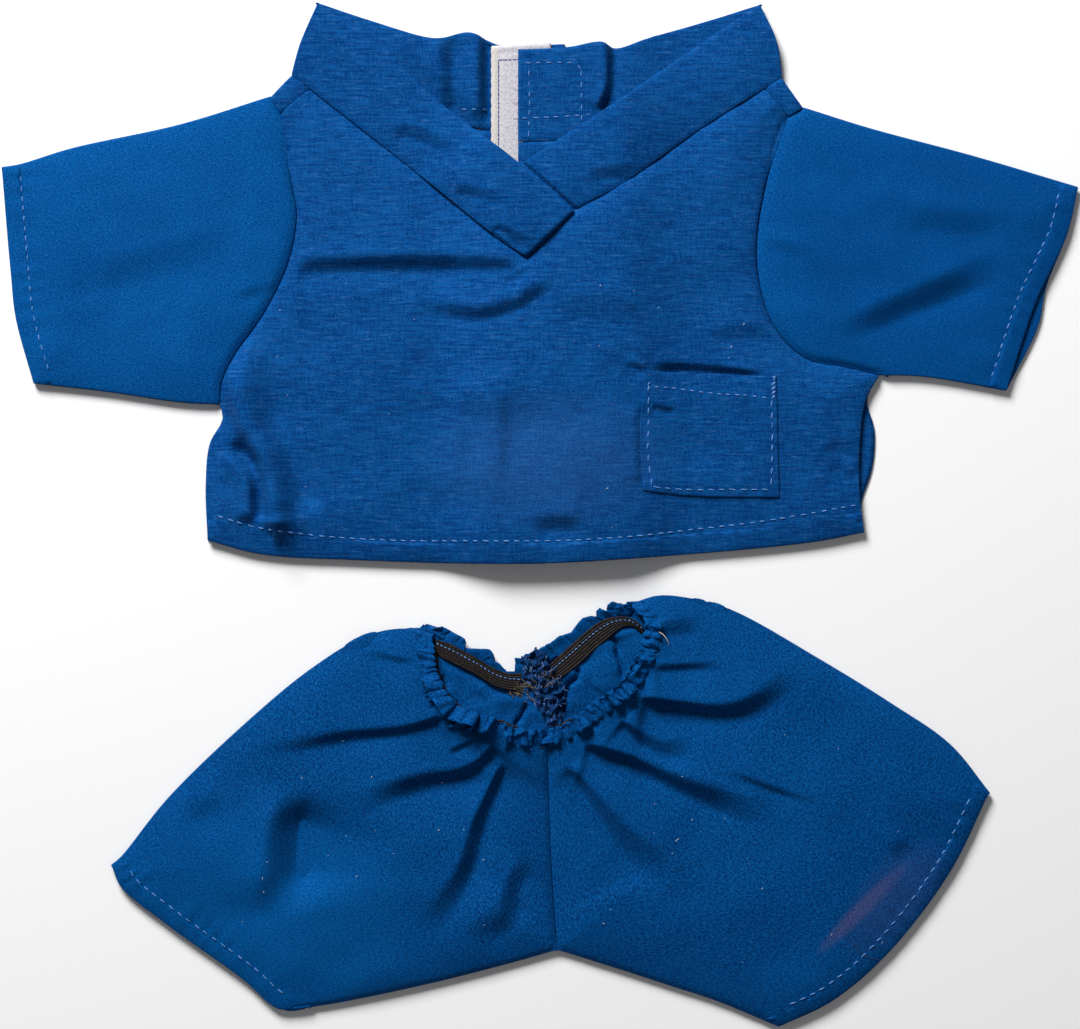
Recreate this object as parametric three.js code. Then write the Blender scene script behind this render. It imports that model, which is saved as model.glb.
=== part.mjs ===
// A doll's medical scrubs, laid out flat with the front up: a V-neck top that closes down its back with loop and
// hook tape, and short wide trousers gathered on an elastic waist. Millimetres, +Z up, underside on z = 0,
// neck towards +Y. Left and right are the viewer's.

import * as THREE from "three";

// Cloth and layers
const WALL = 1; // thickness of one layer of cloth
const GAP = 0.3; // clear space at a seam and between two layers
const LAYER = WALL + GAP; // from the underside of one layer to the underside of the next
const SEAM_INSET = 0.2; // how far a sewn edge is drawn in from its seam line
const FOLD_DRAW = 4; // how closely the room for a fold is taken from the columns next to it

// Closure down the back
const TAPE_WIDTH = 20;
const LOOP_TAPE = { left: -16.3, top: 156, bottom: -10 };
const HOOK_TAPE = { left: -5.6, top: 153, bottom: -9 };
const LEFT_BACK_EDGE = 8.3; // x of the outer overlap's free edge
const RIGHT_BACK_EDGE = -7.3; // x of the inner overlap's free edge
const CLOSURE_LIFT = 3 * LAYER; // two tapes and one layer of cloth
const FRONT_SLACK = 0.4; // how far the front bridges clear of the closure
const RAMP = { frontStart: -38, frontEnd: -12, backStart: 22, backEnd: 48, frontShift: 2 };

// Loft of the laid cloth, and how far from an edge it takes to rise
const PUFF = { front: 2.2, sleeve: 1.5, leg: 3.2, band: 0.8, rise: 9 };

// Waist of the trousers
const WAIST = { lift: 2.8, fade: 24, elasticWidth: 5.3, elasticShow: 0.9, frontRuffle: 1.1, backRuffle: 0.7 };
const WAVE = { front: 0.85, back: 0.42, pointsEach: 4 };
const POCKET_CLEARANCE = 0.45;

// Steps that pieces share along a seam, so that their points meet
const STEPS = { shoulder: 1, armhole: 12, side: 7, neck: 14, backNeck: 8, bandAcross: 3, sleeveDown: 9, fold: 4 };
const LEG_ROWS = [0, 0.05, 0.11, 0.19, 0.3, 0.44, 0.6, 0.8, 1]; // shares from waist to cuff, the crotch at CROTCH
const CROTCH = 0.44;

const COLOUR = {
  body: 0x144b91,
  sleeve: 0x00529b,
  shorts: 0x0a4687,
  tape: 0xe9e6dc,
  elastic: 0x241f20,
};

// Points and curves
const at = (x, y) => new THREE.Vector3(x, y, 0);
const curve = (...points) => new THREE.CatmullRomCurve3(points, false, "centripetal");

// Corners of the top
const HEM_LEFT = at(-111, -8.7);
const HEM_RIGHT = at(108.3, -6);
const UNDERARM_LEFT = at(-107, 36.7);
const UNDERARM_RIGHT = at(113.3, 46.5);
const SHOULDER_LEFT = at(-89.7, 139.7);
const SHOULDER_RIGHT = at(87.7, 136);
const NECK_LEFT = at(-83, 146.6);
const NECK_RIGHT = at(80.9, 145.6);
const NECK_POINT = at(-4.3, 85.3);
const BAND_LEFT = at(-74, 171);
const BAND_RIGHT = at(73.3, 170.4);
const CUFF_LEFT_TOP = at(-179.7, 116);
const CUFF_LEFT_UNDER = at(-169, 43.7);
const CUFF_RIGHT_TOP = at(179.7, 109.3);
const CUFF_RIGHT_UNDER = at(155.7, 41.3);

// Outlines of the top
const HEM = curve(HEM_LEFT, at(-93.3, -13.3), at(-63.3, -15.2), at(-6.7, -16.5), at(38.3, -14.2), at(91, -9.3),
  HEM_RIGHT);
const SHOULDER_SEAM_LEFT = curve(NECK_LEFT, SHOULDER_LEFT);
const SHOULDER_SEAM_RIGHT = curve(NECK_RIGHT, SHOULDER_RIGHT);
const ARMHOLE_LEFT = curve(SHOULDER_LEFT, at(-85.3, 131), at(-83, 110.3), at(-81.3, 100), at(-84, 84.3),
  at(-92.3, 67), at(-102.3, 52.7), at(-106.3, 44), UNDERARM_LEFT);
const ARMHOLE_RIGHT = curve(SHOULDER_RIGHT, at(82.7, 133), at(75.3, 109.7), at(72.3, 90), at(73.3, 77),
  at(77, 65), at(83.3, 56.3), at(90.7, 51.3), at(101.7, 49.3), UNDERARM_RIGHT);
const SIDE_LEFT = curve(UNDERARM_LEFT, at(-106, 32), at(-110.3, 23.7), at(-111.7, 9.7), HEM_LEFT);
const SIDE_RIGHT = curve(UNDERARM_RIGHT, at(108.7, 37.7), at(106.7, 20), at(107, 4), HEM_RIGHT);
const BACK_SIDE_RIGHT = curve(UNDERARM_RIGHT, at(109.3, 38.3), at(111.7, 28.3), at(111, 15.7), at(107.3, 3.3),
  HEM_RIGHT);
const NECK_SEAM_LEFT = curve(NECK_LEFT, at(-63.3, 131.2), at(-37.3, 110.7), at(-15.3, 92.7), NECK_POINT);
const NECK_SEAM_RIGHT = curve(NECK_POINT, at(10.7, 100.3), at(26.7, 109.3), at(53.7, 128.5), NECK_RIGHT);
const BACK_NECK_LEFT = curve(NECK_LEFT, at(-53.3, 136.5), at(-20, 128.6), at(LEFT_BACK_EDGE, 125.4));
const BACK_NECK_RIGHT = curve(at(RIGHT_BACK_EDGE, 124), at(7, 124.6), at(50, 135.5), NECK_RIGHT);

// Outlines of the neckband, doubled cloth sewn round the neck and lapped at the point of the V
const BAND_LEFT_EDGE = curve(BAND_LEFT, at(-56, 157.7), at(-30, 134.7), at(-9, 118.7), at(11.7, 100.7));
const BAND_LEFT_FOLD = curve(NECK_LEFT, at(-80, 157), BAND_LEFT);
const BAND_LAP_END = curve(NECK_POINT, at(11.7, 100.7));
const BAND_RIGHT_EDGE = curve(at(-27.3, 102.7), at(2, 122.3), at(24, 136.7), at(51.3, 155.7), BAND_RIGHT);
const BAND_RIGHT_FOLD = curve(NECK_RIGHT, at(79, 157.5), BAND_RIGHT);
const BAND_HIDDEN_END = curve(NECK_POINT, at(-27.3, 102.7));
const BACK_BAND_LEFT_TOP = curve(BAND_LEFT, at(-56, 165), at(-35, 159), at(-23.3, 160.4), at(-13.3, 157),
  at(LEFT_BACK_EDGE, 157.3));
const BACK_BAND_RIGHT_TOP = curve(at(RIGHT_BACK_EDGE, 155), at(20.3, 157.5), at(25.3, 155.7), at(36.7, 159.3),
  at(60, 166.2), BAND_RIGHT);
const BAND_RISE = { lapX: 2, lapY: 122.3, awayX: 0.555, awayY: -0.832, start: -20, end: -9 };

// Outlines of the sleeves
const SLEEVE_FOLD_LEFT = curve(SHOULDER_LEFT, at(-120, 130.3), at(-156.3, 122.3), at(-174, 116.9), CUFF_LEFT_TOP);
const SLEEVE_UNDER_LEFT = curve(UNDERARM_LEFT, at(-119.3, 37.3), at(-145.3, 41), CUFF_LEFT_UNDER);
const CUFF_LEFT = curve(CUFF_LEFT_TOP, at(-176.7, 81.3), at(-175, 65.7), CUFF_LEFT_UNDER);
const SLEEVE_FOLD_RIGHT = curve(SHOULDER_RIGHT, at(110, 129), at(144.7, 119.7), CUFF_RIGHT_TOP);
const SLEEVE_UNDER_RIGHT = curve(UNDERARM_RIGHT, at(128, 46), CUFF_RIGHT_UNDER);
const CUFF_RIGHT = curve(CUFF_RIGHT_TOP, at(176, 93.7), at(165.7, 71.3), at(160.7, 57), CUFF_RIGHT_UNDER);
const BACK_CUFF_RIGHT = curve(CUFF_RIGHT_TOP, at(176, 93.7), at(169, 75.7), at(166.4, 63), CUFF_RIGHT_UNDER);

// Chest pocket
const POCKET = {
  top: curve(at(35, 47.7), at(78.7, 46)),
  bottom: curve(at(34.3, 8), at(50, 6.2), at(79.7, 5.7)),
  left: curve(at(35, 47.7), at(33.3, 28.3), at(34.3, 8)),
  right: curve(at(78.7, 46), at(79.7, 5.7)),
  steps: 8,
};

// Soft folds: a path, its half width and its rise, which is below zero for a hollow
const TOP_FOLDS = [
  { name: "band across the chest", width: 3.2, rise: -1.5, path: curve(at(-82.7, 84.7), at(-44, 85.4), at(-6, 84)) },
  { name: "smile under the V", width: 4, rise: -0.9, path: curve(at(-40.7, 71), at(-26.7, 68.3), at(6.3, 76.7)) },
  { name: "pinch at the V", width: 2, rise: -0.6, path: curve(at(-10.3, 80.3), at(-4, 82.3)) },
  { name: "left side ridge", width: 5, rise: 1, path: curve(at(-100.7, 44.7), at(-99, 18), at(-101, -3)) },
  { name: "left side hollow", width: 4, rise: -1.1, path: curve(at(-108, 25), at(-96, 12), at(-95, -2)) },
  { name: "second side hollow", width: 5, rise: -1, path: curve(at(-89.3, 43), at(-87.7, 18.7), at(-83, -1)) },
  { name: "crumple by the right seam", width: 3, rise: -0.9, path: curve(at(99.3, 24.7), at(106, 18.7)) },
  { name: "hollow over the pocket", width: 3, rise: -1, path: curve(at(38, 50.3), at(73.3, 49)) },
  { name: "hollow above the chest", width: 5, rise: -0.7, path: curve(at(57.3, 62.7), at(79, 61)) },
  { name: "blotch near the hem", width: 7, rise: -0.9, path: curve(at(-2.7, 0), at(13.3, -4)) },
  { name: "soft wave beside the closure", width: 8, rise: 0.8, path: curve(at(-13, 45), at(-8, 12)) },
];
const LEFT_SLEEVE_FOLDS = [
  { name: "faint hollow", width: 9, rise: -0.6, path: curve(at(-100, 100), at(-140, 88), at(-165, 84)) },
];
const RIGHT_SLEEVE_FOLDS = [
  { name: "long valley", width: 6, rise: -1.4, path: curve(at(92, 57), at(117.3, 68.3), at(153.3, 83.7)) },
  { name: "ridge under the valley", width: 6, rise: 0.9, path: curve(at(104, 50), at(130, 60), at(162, 72)) },
];

// Corners and outlines of the trousers
const FRONT_CENTRE = at(2.3, -74.3);
const BACK_CENTRE = at(-8, -52.3);
const CROTCH_POINT = at(5.7, -145.3);
const WAIST_LEFT = at(-35.3, -39.7);
const WAIST_RIGHT = at(31.3, -29.3);
const CENTRE_FRONT = curve(FRONT_CENTRE, at(3.3, -106.7), at(4.3, -126), CROTCH_POINT);
const CENTRE_BACK = curve(BACK_CENTRE, at(-0.7, -63.3), at(4, -76.7), at(4, -106.7), CROTCH_POINT);

const LEFT_LEG = {
  name: "leg_left",
  frontWaist: curve(FRONT_CENTRE, at(-6.7, -72), at(-16, -69.3), at(-24.7, -66.3), at(-31, -60), at(-34.7, -51),
    WAIST_LEFT),
  backWaist: curve(BACK_CENTRE, at(-11.7, -51.3), at(-16.7, -45.7), at(-24.7, -42.3), at(-31, -38.5), WAIST_LEFT),
  fold: curve(WAIST_LEFT, at(-46, -38), at(-58.7, -40.7), at(-76.3, -51.3), at(-97.7, -69), at(-124.3, -94.7),
    at(-140, -114.3), at(-143.3, -117)),
  inseam: curve(CROTCH_POINT, at(-9.7, -149.7), at(-34.3, -156), at(-63.7, -162.3), at(-82, -165.3)),
  cuff: curve(at(-82, -165.3), at(-88, -164.7), at(-99, -155.3), at(-124.7, -136.7), at(-140.3, -123.7),
    at(-143.3, -117)),
  frontWaves: 12,
  backWaves: 8,
  folds: [
    { name: "long thin crease", width: 2.6, rise: -1.8, path: curve(at(-32.3, -67), at(-78, -75.7), at(-105.7, -80)) },
    { name: "second crease", width: 3.4, rise: -2, path: curve(at(-15, -76.3), at(-39.7, -88.3), at(-68.3, -100.3)) },
    { name: "crease by the centre", width: 4, rise: -2, path: curve(at(-11.7, -81.7), at(-24.3, -116.3), at(-41, -146.7)) },
    { name: "pear hollow", width: 9, rise: -2, path: curve(at(-84, -96), at(-86, -132)) },
    { name: "hollow at the crotch", width: 5, rise: -1.4, path: curve(at(-6, -117), at(-14, -131), at(-4, -141)) },
    { name: "ridge beside the pear", width: 7, rise: 1, path: curve(at(-50, -92), at(-62, -125), at(-70, -150)) },
  ],
};
const RIGHT_LEG = {
  name: "leg_right",
  frontWaist: curve(FRONT_CENTRE, at(7.7, -71.3), at(14, -66), at(21, -61), at(27.3, -55.7), at(32, -48.3),
    at(35.5, -41), at(35.3, -34.3), WAIST_RIGHT),
  backWaist: curve(BACK_CENTRE, at(-6.7, -47), at(4, -42), at(13.3, -34.7), at(22.7, -29), WAIST_RIGHT),
  fold: curve(WAIST_RIGHT, at(39.3, -27), at(49, -27.7), at(63.7, -31.7), at(93, -48), at(117.3, -63), at(137, -76.7),
    at(150.3, -93)),
  inseam: curve(CROTCH_POINT, at(29.3, -152.7), at(44, -157.5), at(58.7, -162.3), at(79.7, -171)),
  cuff: curve(at(79.7, -171), at(97.7, -162.3), at(116.3, -146.3), at(137, -119.3), at(150.3, -93)),
  frontWaves: 12,
  backWaves: 10,
  folds: [
    { name: "upper crease", width: 2.6, rise: -1.6, path: curve(at(37, -51), at(62.7, -50.3)) },
    { name: "second crease", width: 3, rise: -1.8, path: curve(at(33.3, -61.7), at(66.3, -63.7), at(90, -51)) },
    { name: "third crease", width: 3, rise: -1.8, path: curve(at(23.3, -67), at(42, -77.7), at(54.7, -75)) },
    { name: "strong crease", width: 3.6, rise: -2.2, path: curve(at(14.7, -76.7), at(54.7, -92.3), at(83, -97.3)) },
    { name: "long crease", width: 4, rise: -2.2, path: curve(at(7.7, -79.7), at(32.3, -106), at(39, -123)) },
    { name: "ridge over the thigh", width: 8, rise: 1, path: curve(at(50, -84), at(90, -84), at(125, -95)) },
  ],
};

// Upper edge of each length of elastic inside the back of the waist, and the side on which its cloth lies
const BACK_ELASTIC = [
  {
    name: "waist_elastic_back_left",
    top: curve(at(-33.2, -42.6), at(-24, -47.6), at(-16.3, -51.4), at(-7, -54)),
    inward: -1,
  },
  {
    name: "waist_elastic_back_right",
    top: curve(at(3.6, -50), at(9.7, -44.2), at(19.7, -35.7), at(25, -34), at(30.5, -35.2)),
    inward: 1,
  },
];
const ELASTIC_STEPS = 14;
const FRONT_ELASTIC = { from: 0.012, to: 0.9 }; // shares of the front waist that it runs between

// Bunched seam allowance inside the back of the waist
const ALLOWANCE = {
  top: curve(at(-4.6, -47.5), at(1.4, -46)),
  bottom: curve(at(1.6, -68.6), at(7.2, -67.6)),
  left: curve(at(-4.6, -47.5), at(-2.4, -59), at(1.6, -68.6)),
  right: curve(at(1.4, -46), at(2.2, -57), at(7.2, -67.6)),
  across: 3,
  down: 6,
  crumple: 0.4,
};

// Soft step from 0 at start to 1 at end
const rampUp = (value, start, end) => THREE.MathUtils.smoothstep(value, start, end);

// A curve as a run of evenly spaced points
const run = (line, steps) => line.getSpacedPoints(steps);

// The share of a curve's length at which it reaches a given x, for a curve that runs towards +X
function shareAtX(line, x) {
  let low = 0;
  let high = 1;
  while (high - low > 1e-6) {
    const middle = (low + high) / 2;
    if (line.getPointAt(middle).x < x) {
      low = middle;
    } else {
      high = middle;
    }
  }
  return (low + high) / 2;
}

// Evenly spaced points on the stretch of a curve between two shares of its length
function stretch(line, from, to, steps) {
  return Array.from({ length: steps + 1 }, (_, i) => line.getPointAt(THREE.MathUtils.lerp(from, to, i / steps)));
}

// Several runs joined end to end
const joined = (...runs) => runs.flatMap((points, i) => (i === 0 ? points : points.slice(1)));

// A plan grid between four sides: top and bottom run across, left and right run down
function fill({ top, bottom, left, right }) {
  const across = top.length - 1;
  const down = left.length - 1;
  return left.map((start, j) => top.map((_, i) => {
    const u = i / across;
    const v = j / down;
    const between = start.clone().lerp(right[j], u).add(top[i].clone().lerp(bottom[i], v));
    const corners = top[0].clone().lerp(top[across], u).lerp(bottom[0].clone().lerp(bottom[across], u), v);
    return between.sub(corners);
  }));
}

// Draws the named edges of a plan grid in from their seam lines
function drawIn(grid, edges) {
  const toward = (point, next) => point.clone().add(next.clone().sub(point).setLength(SEAM_INSET));
  const down = grid.length - 1;
  const across = grid[0].length - 1;
  let rows = grid;
  if (edges.includes("top")) {
    rows = rows.map((row, j) => (j === 0 ? row.map((point, i) => toward(point, rows[1][i])) : row));
  }
  if (edges.includes("bottom")) {
    rows = rows.map((row, j) => (j === down ? row.map((point, i) => toward(point, rows[down - 1][i])) : row));
  }
  if (edges.includes("left")) {
    rows = rows.map((row) => row.map((point, i) => (i === 0 ? toward(point, row[1]) : point)));
  }
  if (edges.includes("right")) {
    rows = rows.map((row) => row.map((point, i) => (i === across ? toward(point, row[across - 1]) : point)));
  }
  return rows;
}

// Distance from a plan point to a run of points, and the share of the run at which it is nearest
function nearest(points, x, y) {
  let best = Infinity;
  let share = 0;
  for (let k = 0; k < points.length - 1; k += 1) {
    const dx = points[k + 1].x - points[k].x;
    const dy = points[k + 1].y - points[k].y;
    const reach = ((x - points[k].x) * dx + (y - points[k].y) * dy) / (dx * dx + dy * dy);
    const t = THREE.MathUtils.clamp(reach, 0, 1);
    const distance = Math.hypot(x - points[k].x - t * dx, y - points[k].y - t * dy);
    if (distance < best) {
      best = distance;
      share = (k + t) / (points.length - 1);
    }
  }
  return { distance: best, share };
}

// Sum of the soft folds at a plan point, each fading towards its ends
function foldsAt(folds, x, y) {
  return folds.reduce((sum, { path, width, rise }) => {
    const { distance, share } = nearest(run(path, 8), x, y);
    const fade = Math.sqrt(Math.sin(Math.PI * THREE.MathUtils.clamp(share, 0.02, 0.98)));
    return sum + rise * fade * Math.exp(-((distance / width) ** 2));
  }, 0);
}

// Height at a plan point over the bed, nothing on the given edges and the full puff and folds inside
function loftAt(edges, puff, folds, x, y) {
  const away = Math.min(...edges.map((points) => nearest(points, x, y).distance));
  return (puff + foldsAt(folds, x, y)) * (1 - Math.exp(-away / PUFF.rise));
}

// The level direction across an edge
const levelAcross = (edge) => new THREE.Vector3(-edge.y, edge.x, 0).normalize();

// A closed wall of even thickness about a grid of middle points, its edges cut square to the table
function wall(middle) {
  const rows = middle.length;
  const columns = middle[0].length;
  const positions = [];
  const normalAt = (j, i) => {
    const alongRow = middle[j][Math.min(i + 1, columns - 1)].clone().sub(middle[j][Math.max(i - 1, 0)]);
    const downRows = middle[Math.min(j + 1, rows - 1)][i].clone().sub(middle[Math.max(j - 1, 0)][i]);
    const normal = downRows.clone().cross(alongRow);
    if (j === 0 || j === rows - 1) {
      normal.projectOnPlane(levelAcross(alongRow));
    }
    if (i === 0 || i === columns - 1) {
      normal.projectOnPlane(levelAcross(downRows));
    }
    return normal.normalize();
  };
  for (const side of [1, -1]) {
    for (let j = 0; j < rows; j += 1) {
      for (let i = 0; i < columns; i += 1) {
        const point = middle[j][i].clone().addScaledVector(normalAt(j, i), side * WALL / 2);
        positions.push(point.x, point.y, point.z);
      }
    }
  }
  const outer = (j, i) => j * columns + i;
  const inner = (j, i) => rows * columns + j * columns + i;
  const index = [];
  const quad = (a, b, c, d) => index.push(a, b, c, a, c, d);
  for (let j = 0; j < rows - 1; j += 1) {
    for (let i = 0; i < columns - 1; i += 1) {
      quad(outer(j, i), outer(j + 1, i), outer(j + 1, i + 1), outer(j, i + 1));
      quad(inner(j, i), inner(j, i + 1), inner(j + 1, i + 1), inner(j + 1, i));
    }
  }
  for (let i = 0; i < columns - 1; i += 1) {
    quad(outer(0, i), outer(0, i + 1), inner(0, i + 1), inner(0, i));
    quad(outer(rows - 1, i + 1), outer(rows - 1, i), inner(rows - 1, i), inner(rows - 1, i + 1));
  }
  for (let j = 0; j < rows - 1; j += 1) {
    quad(outer(j + 1, 0), outer(j, 0), inner(j, 0), inner(j + 1, 0));
    quad(outer(j, columns - 1), outer(j + 1, columns - 1), inner(j + 1, columns - 1), inner(j, columns - 1));
  }
  const geometry = new THREE.BufferGeometry();
  geometry.setAttribute("position", new THREE.Float32BufferAttribute(positions, 3));
  geometry.setIndex(index);
  geometry.computeVertexNormals();
  return geometry;
}

// A plan grid raised so that its underside lies at the given height
function laid(plan, undersideAt) {
  return plan.map((row) => row.map((point) => {
    return new THREE.Vector3(point.x, point.y, WALL / 2 + undersideAt(point.x, point.y));
  }));
}

function cloth(name, geometry, colour, roughness = 0.85) {
  const material = new THREE.MeshStandardMaterial({ color: colour, roughness, metalness: 0, side: THREE.FrontSide });
  const mesh = new THREE.Mesh(geometry, material);
  mesh.name = name;
  return mesh;
}

// Heights of the top's layers
const rightBackUnderside = (x) => CLOSURE_LIFT * (1 - rampUp(x, RAMP.backStart, RAMP.backEnd));
function frontBed(x) {
  const overLeft = rampUp(x, RAMP.frontStart, RAMP.frontEnd);
  const overRight = 1 - rampUp(x, RAMP.backStart + RAMP.frontShift, RAMP.backEnd + RAMP.frontShift);
  return LAYER + (CLOSURE_LIFT + FRONT_SLACK) * overLeft * overRight;
}

// Sides of the front, shared with the pieces that are sewn to it
const LEFT_SIDE_RUN = joined(
  run(SHOULDER_SEAM_LEFT, STEPS.shoulder),
  run(ARMHOLE_LEFT, STEPS.armhole),
  run(SIDE_LEFT, STEPS.side),
);
const rightSideRun = (side) => joined(
  run(SHOULDER_SEAM_RIGHT, STEPS.shoulder),
  run(ARMHOLE_RIGHT, STEPS.armhole),
  run(side, STEPS.side),
);
const FRONT_SIDES = {
  top: joined(run(NECK_SEAM_LEFT, STEPS.neck), run(NECK_SEAM_RIGHT, STEPS.neck)),
  bottom: run(HEM, 2 * STEPS.neck),
  left: LEFT_SIDE_RUN,
  right: rightSideRun(SIDE_RIGHT),
};
const FRONT_EDGES = Object.values(FRONT_SIDES);
const frontUnderside = (x, y) => frontBed(x) + loftAt(FRONT_EDGES, PUFF.front, TOP_FOLDS, x, y);

function makeFront() {
  const plan = drawIn(fill(FRONT_SIDES), ["top", "left", "right"]);
  return cloth("top_front", wall(laid(plan, frontUnderside)), COLOUR.body);
}

function makeLeftBack() {
  const hemEnd = shareAtX(HEM, LEFT_BACK_EDGE);
  const rows = LEFT_SIDE_RUN.length - 1;
  const plan = drawIn(fill({
    top: run(BACK_NECK_LEFT, STEPS.backNeck),
    bottom: stretch(HEM, 0, hemEnd, STEPS.backNeck),
    left: LEFT_SIDE_RUN,
    right: run(curve(BACK_NECK_LEFT.getPoint(1), HEM.getPointAt(hemEnd)), rows),
  }), ["top", "left"]);
  return cloth("top_back_left", wall(laid(plan, () => 0)), COLOUR.body);
}

function makeRightBack() {
  const hemStart = shareAtX(HEM, RIGHT_BACK_EDGE);
  const right = rightSideRun(BACK_SIDE_RIGHT);
  const plan = drawIn(fill({
    top: run(BACK_NECK_RIGHT, STEPS.backNeck + 3),
    bottom: stretch(HEM, hemStart, 1, STEPS.backNeck + 3),
    left: run(curve(BACK_NECK_RIGHT.getPoint(0), HEM.getPointAt(hemStart)), right.length - 1),
    right,
  }), ["top", "right"]);
  return cloth("top_back_right", wall(laid(plan, rightBackUnderside)), COLOUR.body);
}

// A strip of tape that runs straight down the closure
function makeTape(name, { left, top, bottom }, underside) {
  const steps = 8;
  const plan = fill({
    top: run(curve(at(left, top), at(left + TAPE_WIDTH, top)), 2),
    bottom: run(curve(at(left, bottom), at(left + TAPE_WIDTH, bottom)), 2),
    left: run(curve(at(left, top), at(left, bottom)), steps),
    right: run(curve(at(left + TAPE_WIDTH, top), at(left + TAPE_WIDTH, bottom)), steps),
  });
  return cloth(name, wall(laid(plan, () => underside)), COLOUR.tape, 0.95);
}

// One length of the neckband, rolled up a little along its middle
function makeBand(name, sides, undersideAt, rounded) {
  const plan = drawIn(fill(sides), ["bottom"]);
  const across = plan.length - 1;
  const middle = plan.map((row, j) => row.map((point) => {
    const roll = rounded ? PUFF.band * Math.sin(Math.PI * j / across) : 0;
    return new THREE.Vector3(point.x, point.y, WALL / 2 + undersideAt(point.x, point.y) + roll);
  }));
  return cloth(name, wall(middle), COLOUR.body);
}

function makeNeckband() {
  const overLap = (x, y) => {
    const away = (x - BAND_RISE.lapX) * BAND_RISE.awayX + (y - BAND_RISE.lapY) * BAND_RISE.awayY;
    return (LAYER + PUFF.band) * rampUp(away, BAND_RISE.start, BAND_RISE.end);
  };
  const leftFront = {
    top: run(BAND_LEFT_EDGE, STEPS.neck),
    bottom: run(NECK_SEAM_LEFT, STEPS.neck),
    left: run(BAND_LEFT_FOLD, STEPS.bandAcross).reverse(),
    right: run(BAND_LAP_END, STEPS.bandAcross).reverse(),
  };
  const rightFront = {
    top: run(BAND_RIGHT_EDGE, STEPS.neck),
    bottom: run(NECK_SEAM_RIGHT, STEPS.neck),
    left: run(BAND_HIDDEN_END, STEPS.bandAcross).reverse(),
    right: run(BAND_RIGHT_FOLD, STEPS.bandAcross).reverse(),
  };
  const leftBack = {
    top: run(BACK_BAND_LEFT_TOP, STEPS.backNeck),
    bottom: run(BACK_NECK_LEFT, STEPS.backNeck),
    left: run(BAND_LEFT_FOLD, 2).reverse(),
    right: run(curve(BACK_BAND_LEFT_TOP.getPoint(1), BACK_NECK_LEFT.getPoint(1)), 2),
  };
  const rightBack = {
    top: run(BACK_BAND_RIGHT_TOP, STEPS.backNeck + 3),
    bottom: run(BACK_NECK_RIGHT, STEPS.backNeck + 3),
    left: run(curve(BACK_BAND_RIGHT_TOP.getPoint(0), BACK_NECK_RIGHT.getPoint(0)), 2),
    right: run(BAND_RIGHT_FOLD, 2).reverse(),
  };
  return [
    makeBand("neckband_front_left", leftFront, (x, y) => frontBed(x) + overLap(x, y), true),
    makeBand("neckband_front_right", rightFront, (x) => frontBed(x), true),
    makeBand("neckband_back_left", leftBack, () => 0, false),
    makeBand("neckband_back_right", rightBack, rightBackUnderside, false),
  ];
}

function makePocket() {
  const plan = fill({
    top: run(POCKET.top, POCKET.steps),
    bottom: run(POCKET.bottom, POCKET.steps),
    left: run(POCKET.left, POCKET.steps),
    right: run(POCKET.right, POCKET.steps),
  });
  const underside = (x, y) => frontUnderside(x, y) + LAYER + POCKET_CLEARANCE;
  return cloth("chest_pocket", wall(laid(plan, underside)), COLOUR.body);
}

// A sheet folded in two: the front layer out to the fold, round it, and back underneath. The fold is the last
// column of both plans, which have the same rows.
function folded(frontPlan, backPlan, frontMiddleAt, backMiddleAt) {
  const rows = frontPlan.length - 1;
  return frontPlan.map((frontRow, j) => {
    const backRow = backPlan[j];
    const fold = frontRow.at(-1);
    const before = frontPlan[Math.max(j - 1, 0)].at(-1);
    const after = frontPlan[Math.min(j + 1, rows)].at(-1);
    const outward = new THREE.Vector3(after.y - before.y, before.x - after.x, 0).normalize();
    if (outward.dot(fold.clone().sub(frontRow.at(-2))) < 0) {
      outward.negate();
    }
    const high = frontMiddleAt(frontRow.length - 1, j, fold);
    const low = backMiddleAt(backRow.length - 1, j, fold);
    const radius = (high - low) / 2;
    const place = (point, share, z) => {
      const moved = point.clone().addScaledVector(outward, -(radius + WALL / 2) * share ** FOLD_DRAW);
      return moved.setZ(z);
    };
    const front = frontRow.map((point, i) => place(point, i / (frontRow.length - 1), frontMiddleAt(i, j, point)));
    const back = backRow.map((point, i) => place(point, i / (backRow.length - 1), backMiddleAt(i, j, point)));
    const bend = Array.from({ length: STEPS.fold - 1 }, (_, k) => {
      const angle = Math.PI * (k + 1) / STEPS.fold;
      const centre = front.at(-1).clone().setZ((high + low) / 2 + radius * Math.cos(angle));
      return centre.addScaledVector(outward, radius * Math.sin(angle));
    });
    return [...front, ...bend, ...back.reverse()];
  });
}

function makeSleeve(name, { armhole, under, fold, cuff, backCuff, folds }) {
  const down = STEPS.sleeveDown;
  const sidesFor = (end) => ({
    top: run(armhole, STEPS.armhole).reverse(),
    bottom: run(end, STEPS.armhole).reverse(),
    left: run(under, down),
    right: run(fold, down),
  });
  const frontSides = sidesFor(cuff);
  const frontPlan = drawIn(fill(frontSides), ["top"]);
  const backPlan = drawIn(fill(sidesFor(backCuff)), ["top"]);
  const edges = Object.values(frontSides);
  const frontMiddle = (i, j, { x, y }) => WALL / 2 + LAYER + loftAt(edges, PUFF.sleeve, folds, x, y);
  return cloth(name, wall(folded(frontPlan, backPlan, frontMiddle, () => WALL / 2)), COLOUR.sleeve);
}

// Runs of a leg's seam side and fold side, with the crotch on the same row as in the other leg
function legRun(upper, lower) {
  return LEG_ROWS.map((share) => {
    return share <= CROTCH ? upper.getPointAt(share / CROTCH) : lower.getPointAt((share - CROTCH) / (1 - CROTCH));
  });
}

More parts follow.
